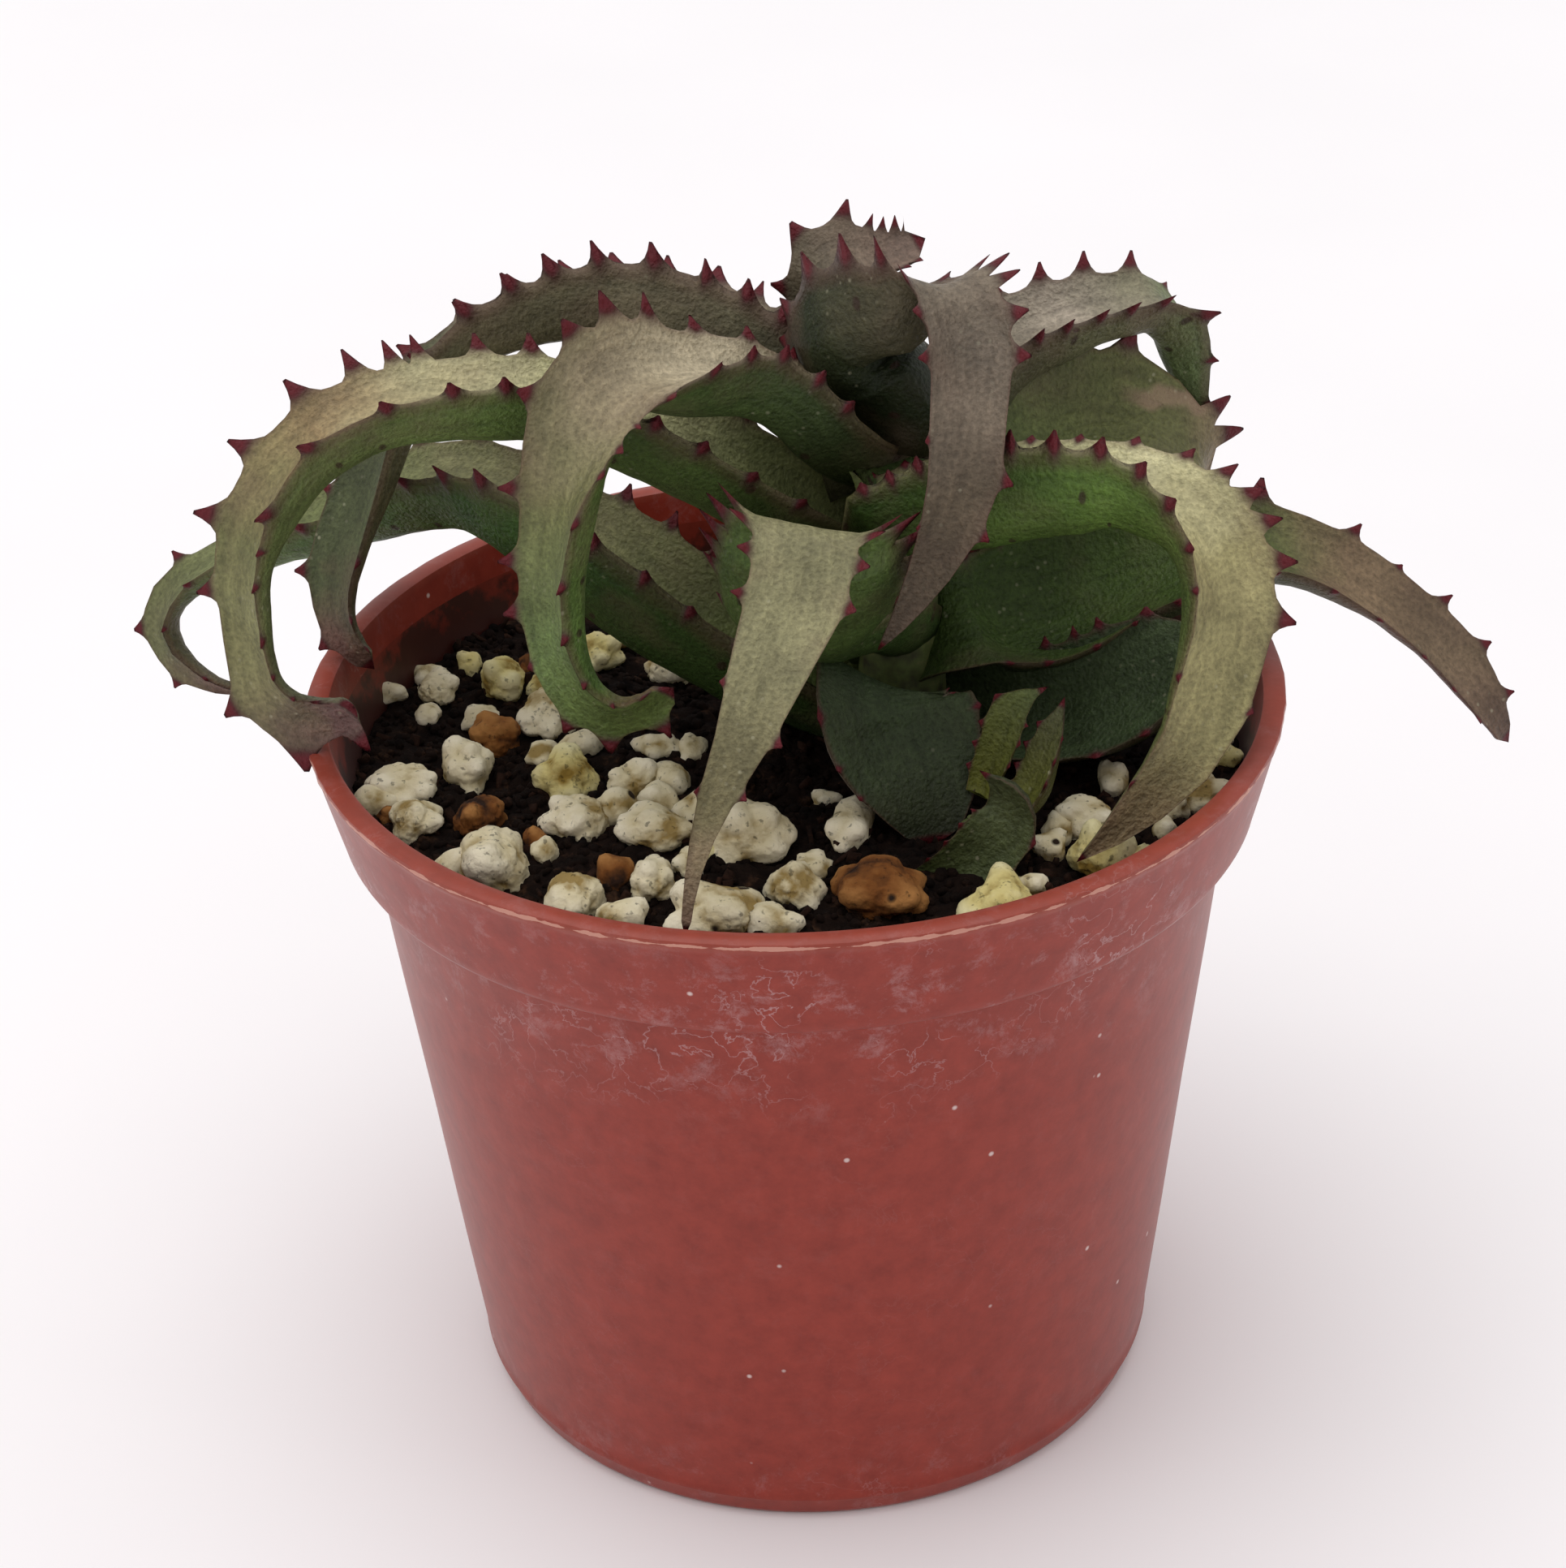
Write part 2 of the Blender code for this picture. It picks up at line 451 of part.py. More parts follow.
def build_leaf(name, heading, channel, tooth, route, group, material):
    """A channelled leaf with a keeled back and toothed margins, six points to a ring."""
    curve = smooth_rows(route)
    length = np.linalg.norm(np.diff(curve[:, :3], axis=0), axis=1).sum()
    tips, places = tooth_places(length)
    places = np.unique(places)
    points, along, side, up, half = leaf_frames(curve, places, heading)
    share = places / length
    depth = (channel * (1 - share) ** 1.2 + 0.12) * half
    thick = np.minimum((0.4 + 0.4 * (1 - share)) * half + TIP_THICKNESS * 0.75, THICKEST)
    squeeze = np.minimum(1.0, body_room(curve, places, heading) / (depth + thick))
    depth, thick = depth * squeeze, np.maximum(thick * squeeze, TIP_THICKNESS)
    is_tip = np.isin(places, tips)
    height = tooth * (0.4 + 0.6 * np.sin(np.pi * np.clip(share * 1.15, 0, 1)) ** 0.7) * is_tip
    verts = []
    for i in range(len(places)):
        out = half[i] + height[i]
        lean = along[i] * TOOTH_LEAN * height[i]
        rise = up[i] * 0.3 * height[i]
        verts.append(points[i] - side[i] * out + lean + rise)
        verts.append(points[i] - up[i] * depth[i])
        verts.append(points[i] + side[i] * out + lean + rise)
        for across in (0.6, 0.0, -0.6):
            low = depth[i] * (across ** 2 - 1) - thick[i] * (1 - across ** 2) ** 0.6
            verts.append(points[i] + side[i] * half[i] * across + up[i] * low)
    sides = 6
    faces = [(0, 5, 4), (0, 4, 1), (1, 4, 3), (1, 3, 2)]
    for i in range(len(places) - 1):
        for j in range(sides):
            a, b = i * sides + j, i * sides + (j + 1) % sides
            c, d = a + sides, b + sides
            margin_first = j in (0, 2)
            at_tip = is_tip[i]
            # The split runs from the blade's middle at a tooth's tip to the margin beside it.
            a_to_d = at_tip != margin_first if j in (0, 1, 2, 5) else j == 3
            faces += [(a, b, d), (a, d, c)] if a_to_d else [(a, b, c), (b, d, c)]
    end = (len(places) - 1) * sides
    faces += [(end, end + 4, end + 5), (end, end + 1, end + 4),
              (end + 1, end + 3, end + 4), (end + 1, end + 2, end + 3)]
    return add_mesh(name, [Vector(v) for v in verts], faces, group, material, smooth=False)


def stone_shape(size, stretch, seed, grow=0.0):
    """A knobbly lump about the origin, as a bmesh in metres."""
    shape = bmesh.new()
    bmesh.ops.create_icosphere(shape, subdivisions=2, radius=1.0)
    shift = Vector((seed * 1.37, seed * 0.71, seed * 2.03))
    for vert in shape.verts:
        way = vert.co.normalized()
        bump = 1.0 + 0.30 * noise.noise(way * 1.6 + shift)
        radius = size / 2 * bump
        reach = Vector((way.x * stretch, way.y, way.z * 0.85)) * radius
        vert.co = (reach + way * grow) * MM
    return shape


def place_stone(name, spec, seed, group, material=None, grow=0.0):
    x, y, size, stretch, kind = spec
    shape = stone_shape(size, stretch, seed, grow)
    turn = Matrix.Rotation(random.Random(seed).uniform(0, math.tau), 4, "Z")
    bmesh.ops.transform(shape, matrix=turn, verts=shape.verts)
    mesh = bpy.data.meshes.new(name)
    shape.to_mesh(mesh)
    shape.free()
    obj = bpy.data.objects.new(name, mesh)
    obj.location = Vector((x, y, soil_height(x, y) + STONE_SUNK * size)) * MM
    group.objects.link(obj)
    if material:
        mesh.materials.append(material)
    return obj


def main():
    clear_scene()
    part = make_collection("potted_aloe")
    drains = make_collection("drain_cutters")
    seats = make_collection("soil_cutters")

    build_pot(part, drains, make_material("pot_plastic", "#8E3F35", 0.45))
    build_soil(part, seats, make_material("potting_soil", "#2A1E18", 0.95))

    bark = make_material("stem_green", "#5B6B3C", 0.6)
    tapered_rod("stem", STEM_FOOT, STEM_TOP, STEM_RADII, part, bark)
    tapered_rod("offset_stem", OFFSET_FOOT, OFFSET_TOP, OFFSET_RADII, part, bark.copy())
    for name, foot, top, radii in (("stem_hole", STEM_FOOT, STEM_TOP, STEM_RADII),
                                   ("offset_hole", OFFSET_FOOT, OFFSET_TOP, OFFSET_RADII)):
        hide_cutter(tapered_rod(name, foot, top, radii, seats, grow=GAP, rounded=False))

    for name, (heading, channel, tooth, colour, route) in LEAVES.items():
        skin = make_material(name + "_skin", colour, 0.5)
        build_leaf(name, heading, channel, tooth, route, part, skin)

    for number, spec in enumerate(STONES, 1):
        name = f"{spec[4]}_{number:02d}"
        stuff = make_material(name + "_stuff", STONE_COLOURS[spec[4]], 0.9)
        place_stone(name, spec, number, part, stuff)
        hide_cutter(place_stone(name + "_seat", spec, number, seats, grow=GAP))


main()
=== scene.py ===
"""Potted aloe: the finish of every surface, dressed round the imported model.

The model's frame is in metres, +Z up, with its origin on the pot's axis where the pot
stands. Sizes in this script are in millimetres unless a comment says otherwise. Textures
are laid out in the object's own metres, so a texture's Scale of 1000 means features of
about 1 mm.
"""
import json
import math
import random

import bmesh
import bpy
import numpy as np
from mathutils import Matrix, Vector, noise

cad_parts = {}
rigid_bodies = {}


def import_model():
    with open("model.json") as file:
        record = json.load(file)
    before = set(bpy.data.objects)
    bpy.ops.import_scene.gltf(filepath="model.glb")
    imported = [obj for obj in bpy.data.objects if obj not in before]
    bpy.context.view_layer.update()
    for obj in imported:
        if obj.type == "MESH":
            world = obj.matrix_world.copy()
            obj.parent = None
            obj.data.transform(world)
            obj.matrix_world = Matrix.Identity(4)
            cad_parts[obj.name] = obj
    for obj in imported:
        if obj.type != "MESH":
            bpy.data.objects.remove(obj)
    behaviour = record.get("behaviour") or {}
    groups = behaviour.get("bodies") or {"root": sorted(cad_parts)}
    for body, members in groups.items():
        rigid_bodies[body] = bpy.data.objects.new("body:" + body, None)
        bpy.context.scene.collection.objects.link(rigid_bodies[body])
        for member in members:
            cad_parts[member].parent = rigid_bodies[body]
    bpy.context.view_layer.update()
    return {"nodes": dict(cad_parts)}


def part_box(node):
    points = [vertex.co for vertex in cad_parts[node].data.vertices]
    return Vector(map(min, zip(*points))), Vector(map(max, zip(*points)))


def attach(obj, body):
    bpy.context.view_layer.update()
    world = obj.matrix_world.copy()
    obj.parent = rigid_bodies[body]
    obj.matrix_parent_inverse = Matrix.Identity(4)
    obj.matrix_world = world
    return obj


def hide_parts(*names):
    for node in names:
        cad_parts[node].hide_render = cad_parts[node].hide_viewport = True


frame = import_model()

MM = 0.001

# Camera, set by the pot's rim and foot in the photograph
PHOTO_SIZE = (1930, 1932)
FOCAL_PIXELS = 4500.0
CAMERA_SPOT = (-1.3, -278.8, 220.2)
CAMERA_DOWN = 30.25            # degrees below level
CAMERA_ROLL = -2.12            # degrees

# What the lights face, the strength of the light tent, and half the table's side in metres
PLANT_MIDDLE = (0.0, 0.0, 50.0)
TENT_STRENGTH = 0.73
TABLE_REACH = 30.0


def linear(hex_colour):
    """An sRGB hex colour as the linear values that a shader takes."""
    channels = [int(hex_colour[i:i + 2], 16) / 255 for i in (1, 3, 5)]
    return (*[c / 12.92 if c <= 0.04045 else ((c + 0.055) / 1.055) ** 2.4 for c in channels], 1.0)


def plug(tree, socket, value):
    """Gives an input a value, a hex colour, a node's output, or a node's first live output."""
    if isinstance(value, bpy.types.Node):
        value = next(output for output in value.outputs if output.enabled)
    if isinstance(value, bpy.types.NodeSocket):
        tree.links.new(value, socket)
    else:
        socket.default_value = linear(value) if isinstance(value, str) else value


def add(tree, kind, inputs=None, stops=None, **settings):
    """Adds a node, a shader node where its kind doesn't say, with its settings and inputs."""
    made = tree.nodes.new(kind if "Node" in kind else "ShaderNode" + kind)
    for name, value in settings.items():
        setattr(made, name, value)
    for key, value in (inputs or {}).items():
        plug(tree, made.inputs[key], value)
    if stops:
        ramp = made.color_ramp
        while len(ramp.elements) < len(stops):
            ramp.elements.new(0.5)
        for element, (place, colour) in zip(ramp.elements, stops):
            element.position = place
            element.color = linear(colour)
    return made


def new_material(name, **finish):
    """A material with the constant parts of its finish set, its tree and its coordinates."""
    material = bpy.data.materials.new(name)
    material.use_nodes = True
    tree = material.node_tree
    for socket, value in finish.items():
        tree.nodes["Principled BSDF"].inputs[socket.replace("_", " ")].default_value = value
    return material, tree, add(tree, "TexCoord").outputs["Object"]


def layered(tree, colour, layers):
    """Lays paints over a colour. A layer is a paint and the masks whose product is its share."""
    for paint, share, *others in layers:
        for mask in others:
            share = add(tree, "Math", {0: share, 1: mask}, operation="MULTIPLY")
        colour = add(tree, "Mix", {"Factor": share, 6: colour, 7: paint}, data_type="RGBA")
    return colour


def coat(material, colour, height=None, strength=1.0, depth=0.3):
    """Gives a material its colour, and bumps of a depth in mm where a height is given."""
    tree = material.node_tree
    sockets = tree.nodes["Principled BSDF"].inputs
    plug(tree, sockets["Base Color"], colour)
    if height:
        plug(tree, sockets["Normal"], add(tree, "Bump", {"Height": height, "Strength": strength,
                                                         "Distance": depth * MM}))
    return material


def add_piece(name, mesh, material, nodes=()):
    """Puts a finished mesh in the scene, rides it on the body and hides the model's parts that it
    stands for.
    """
    piece = bpy.data.objects.new(name, mesh)
    bpy.context.scene.collection.objects.link(piece)
    mesh.materials.clear()
    mesh.materials.append(material)
    for face in mesh.polygons:
        face.use_smooth = True
    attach(piece, "root")
    if nodes:
        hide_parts(*nodes)
    return piece


def around(radius, count):
    """Points (x, y) evenly round a circle."""
    for i in range(count):
        angle = math.tau * i / count
        yield radius * math.cos(angle), radius * math.sin(angle)


def plain_mesh(item):
    """An object's mesh with its modifiers carried out. The object itself goes."""
    bpy.context.view_layer.update()
    mesh = bpy.data.meshes.new_from_object(
        item.evaluated_get(bpy.context.evaluated_depsgraph_get()))
    bpy.data.objects.remove(item)
    return mesh


# Camera, lights and floor

def place_camera():
    """The photograph's camera: its place, how far it looks down and its roll."""
    down, roll = math.radians(CAMERA_DOWN), math.radians(CAMERA_ROLL)
    ahead = Vector((0.0, math.cos(down), -math.sin(down)))
    level = Vector((1.0, 0.0, 0.0))
    upright = level.cross(ahead)
    right = level * math.cos(roll) + upright * math.sin(roll)
    up = upright * math.cos(roll) - level * math.sin(roll)
    data = bpy.data.cameras.new("photo_camera")
    data.lens = FOCAL_PIXELS / max(PHOTO_SIZE) * data.sensor_width
    camera = bpy.data.objects.new("photo_camera", data)
    camera.matrix_world = Matrix.Translation(Vector(CAMERA_SPOT) * MM) @ Matrix(
        (right, up, -ahead)).transposed().to_4x4()
    bpy.context.scene.collection.objects.link(camera)
    bpy.context.scene.camera = camera


def place_light(name, spot, size, power):
    """A square soft light with its place and side in mm, turned to face the plant."""
    data = bpy.data.lights.new(name, "AREA")
    data.size = size * MM
    data.energy = power
    light = bpy.data.objects.new(name, data)
    spot = Vector(spot)
    turn = (spot - Vector(PLANT_MIDDLE)).to_track_quat("Z", "Y").to_matrix().to_4x4()
    light.matrix_world = Matrix.Translation(spot * MM) @ turn
    bpy.context.scene.collection.objects.link(light)


def build_stage():
    """A white photo table under a light tent: soft light from above and from both sides."""
    scene = bpy.context.scene
    scene.view_settings.view_transform = "Standard"
    scene.world = bpy.data.worlds.new("light_tent")
    scene.world.use_nodes = True
    sky = scene.world.node_tree.nodes["Background"]
    sky.inputs["Color"].default_value = linear("#FCFAFB")
    sky.inputs["Strength"].default_value = TENT_STRENGTH
    place_light("top_soft_box", (-200, 60, 1500), 1500, 10.8)
    place_light("left_soft_box", (-520, -220, 260), 360, 0.12)
    place_light("right_soft_box", (520, -120, 260), 360, 0.06)
    corners = [(x * TABLE_REACH, y * TABLE_REACH, 0) for x, y in ((-1, -1), (1, -1), (1, 1), (-1, 1))]
    mesh = bpy.data.meshes.new("table")
    mesh.from_pydata(corners, [], [(0, 1, 2, 3)])
    material, tree, where = new_material("matt_white_table_film", Roughness=0.7)
    cloud = add(tree, "TexNoise", {"Vector": where, "Scale": 9.0, "Detail": 3.0})
    mesh.materials.append(coat(material, add(tree, "ValToRGB", {"Fac": cloud},
                                             stops=[(0.35, "#F8F6F7"), (0.65, "#FBF9FA")])))
    floor = bpy.data.objects.new("table", mesh)
    scene.collection.objects.link(floor)


# Leaves

# How a leaf's route is rounded and its body kept inside its bends, as in the solids
CURVE_STEPS = 16
ROUNDING = 6
BEND_SPAN = 1.8
BEND_ROOM = 0.65
THICKEST = 4.6
# Flesh under the channel as a share of what most leaves have
FLESH = {"leaf_low_front": 0.8, "leaf_low_left": 1.3, "leaf_top": 1.15, "leaf_back_right": 1.2,
         "leaf_front": 0.75}
# The least that a leaf's body thins to, at its tip
TIP_THICKNESS = 0.6
# How far a leaf's foot runs down inside the stem, and its point past the end of its route
SHEATH_DEEP = 4.0
POINT_PAST = 1.3
# Swellings of the skin, as their length and their height
SWELLINGS = ((5.0, 0.34), (1.7, 0.1))
# Where rings cut a tooth, as shares of half its root, and the columns across the blade
TOOTH_RINGS = (-1.0, -0.66, -0.4, -0.2, -0.06, 0.06, 0.2, 0.4, 0.66, 1.0)
ACROSS = (0.22, 0.45, 0.66, 0.82, 0.92, 0.975)
# The stem's axis
STEM_FOOT = (9.5, 3.0, 50.0)
STEM_TOP = (9.5, 5.5, 90.0)

# Skins, as colours along the leaf from its base to its tip: of the upper face, of the back
SKINS = {
    "leaf_left_arch": (
        ((0, "#67713F"), (0.28, "#B4B286"), (0.42, "#C2BC92"), (0.6, "#8F7B59"),
         (0.76, "#7A7A50"), (0.92, "#776F50"), (1, "#6E5550")),
        ((0, "#3D4E26"), (0.4, "#586C36"), (0.75, "#636F40"), (1, "#6B6850"))),
    "leaf_low_left": (
        ((0, "#5F6D39"), (0.35, "#8B8861"), (0.7, "#727A4C"), (0.9, "#6B6B4A"),
         (1, "#6A5348")),
        ((0, "#334620"), (0.4, "#3D5A26"), (0.7, "#4F6A35"), (1, "#665F48"))),
    "leaf_front_left": (
        ((0, "#66683F"), (0.22, "#B5A98E"), (0.4, "#988B70"), (0.56, "#71704A"),
         (0.8, "#687B47"), (1, "#60723A")),
        ((0, "#384426"), (0.35, "#4A5C2F"), (0.6, "#5C7038"), (0.88, "#567035"),
         (1, "#6D5A3C"))),
    "leaf_back_left": (
        ((0, "#625D46"), (0.3, "#877966"), (0.5, "#8A7D69"), (0.65, "#484E32"),
         (0.9, "#4F5638"), (1, "#6A4A44")),
        ((0, "#494833"), (0.3, "#706852"), (0.6, "#686448"), (1, "#5B583D"))),
    "leaf_front": (
        ((0, "#5B6838"), (0.28, "#84815F"), (0.6, "#868260"), (0.85, "#7F7756"),
         (1, "#8A7060")),
        ((0, "#43582B"), (0.4, "#586B37"), (1, "#6E6A48"))),
    "leaf_top": (
        ((0, "#55503C"), (0.3, "#776D5C"), (0.55, "#74685A"), (0.8, "#5E5242"),
         (1, "#4E4236")),
        ((0, "#1E2616"), (0.2, "#2C331E"), (0.36, "#544D3B"), (0.6, "#504838"),
         (1, "#463C30"))),
    "leaf_crown": (
        ((0, "#4C4937"), (0.5, "#6A6450"), (1, "#7A675B")),
        ((0, "#3A382B"), (0.5, "#4E483A"), (1, "#61544A"))),
    "leaf_back_right": (
        ((0, "#68644A"), (0.4, "#A09585"), (0.55, "#8B866E"), (0.68, "#6C7A54"),
         (1, "#6C7450")),
        ((0, "#464A31"), (0.5, "#676649"), (0.8, "#64744A"), (1, "#5F6A44"))),
    "leaf_broad_right": (
        ((0, "#506335"), (0.4, "#62673D"), (0.65, "#6B6C44"), (0.8, "#86775B"),
         (1, "#6E5F4A")),
        ((0, "#4B5F2D"), (0.6, "#5C6C3A"), (1, "#6B6A48"))),
    "leaf_front_right": (
        ((0, "#68753F"), (0.28, "#BBB88A"), (0.42, "#CAC49A"), (0.56, "#A69E70"),
         (0.8, "#8C855C"), (1, "#7E6C50")),
        ((0, "#3E5525"), (0.35, "#5A7433"), (0.6, "#5E7238"), (1, "#6F6E48"))),
    "leaf_far_right": (
        ((0, "#3D4F23"), (0.46, "#465827"), (0.6, "#79664E"), (0.85, "#6F5E4A"),
         (1, "#5E4A40")),
        ((0, "#394827"), (0.5, "#484C32"), (0.7, "#5E5042"), (1, "#5A4840"))),
    "leaf_low_right": (
        ((0, "#39472A"), (1, "#3F4C30")), ((0, "#35432A"), (1, "#3C452C"))),
    "leaf_low_front": (
        ((0, "#2E3A22"), (0.5, "#38452A"), (1, "#303522")),
        ((0, "#465039"), (0.5, "#6A695E"), (1, "#736F67"))),
    "leaf_back": (
        ((0, "#5E6C3B"), (0.4, "#8F8B68"), (0.75, "#7B7852"), (1, "#6E6048")),
        ((0, "#485E2C"), (0.6, "#5E7038"), (1, "#666446"))),
    "leaf_low_back": (
        ((0, "#48552F"), (0.5, "#6B6C49"), (1, "#62563F")),
        ((0, "#3E4E28"), (0.6, "#4E5A32"), (1, "#57553A"))),
    "offset_leaf_front": (
        ((0, "#46512B"), (1, "#4C5336")), ((0, "#3C4628"), (1, "#454A33"))),
    "offset_leaf_left": (
        ((0, "#6A6C2A"), (1, "#525C33")), ((0, "#5D6328"), (1, "#4A5530"))),
    "offset_leaf_right": (
        ((0, "#6A6C2A"), (1, "#56583A")), ((0, "#5D6328"), (1, "#504E38"))),
}

# How far to the right of its middle the broad leaf's scar runs, mm
SCAR_ACROSS = -3.2

# Leaves grown in shade, which hardly redden
GREENEST = ("leaf_low_right", "leaf_low_front", "leaf_low_back", "offset_leaf_front",
            "offset_leaf_left", "offset_leaf_right")

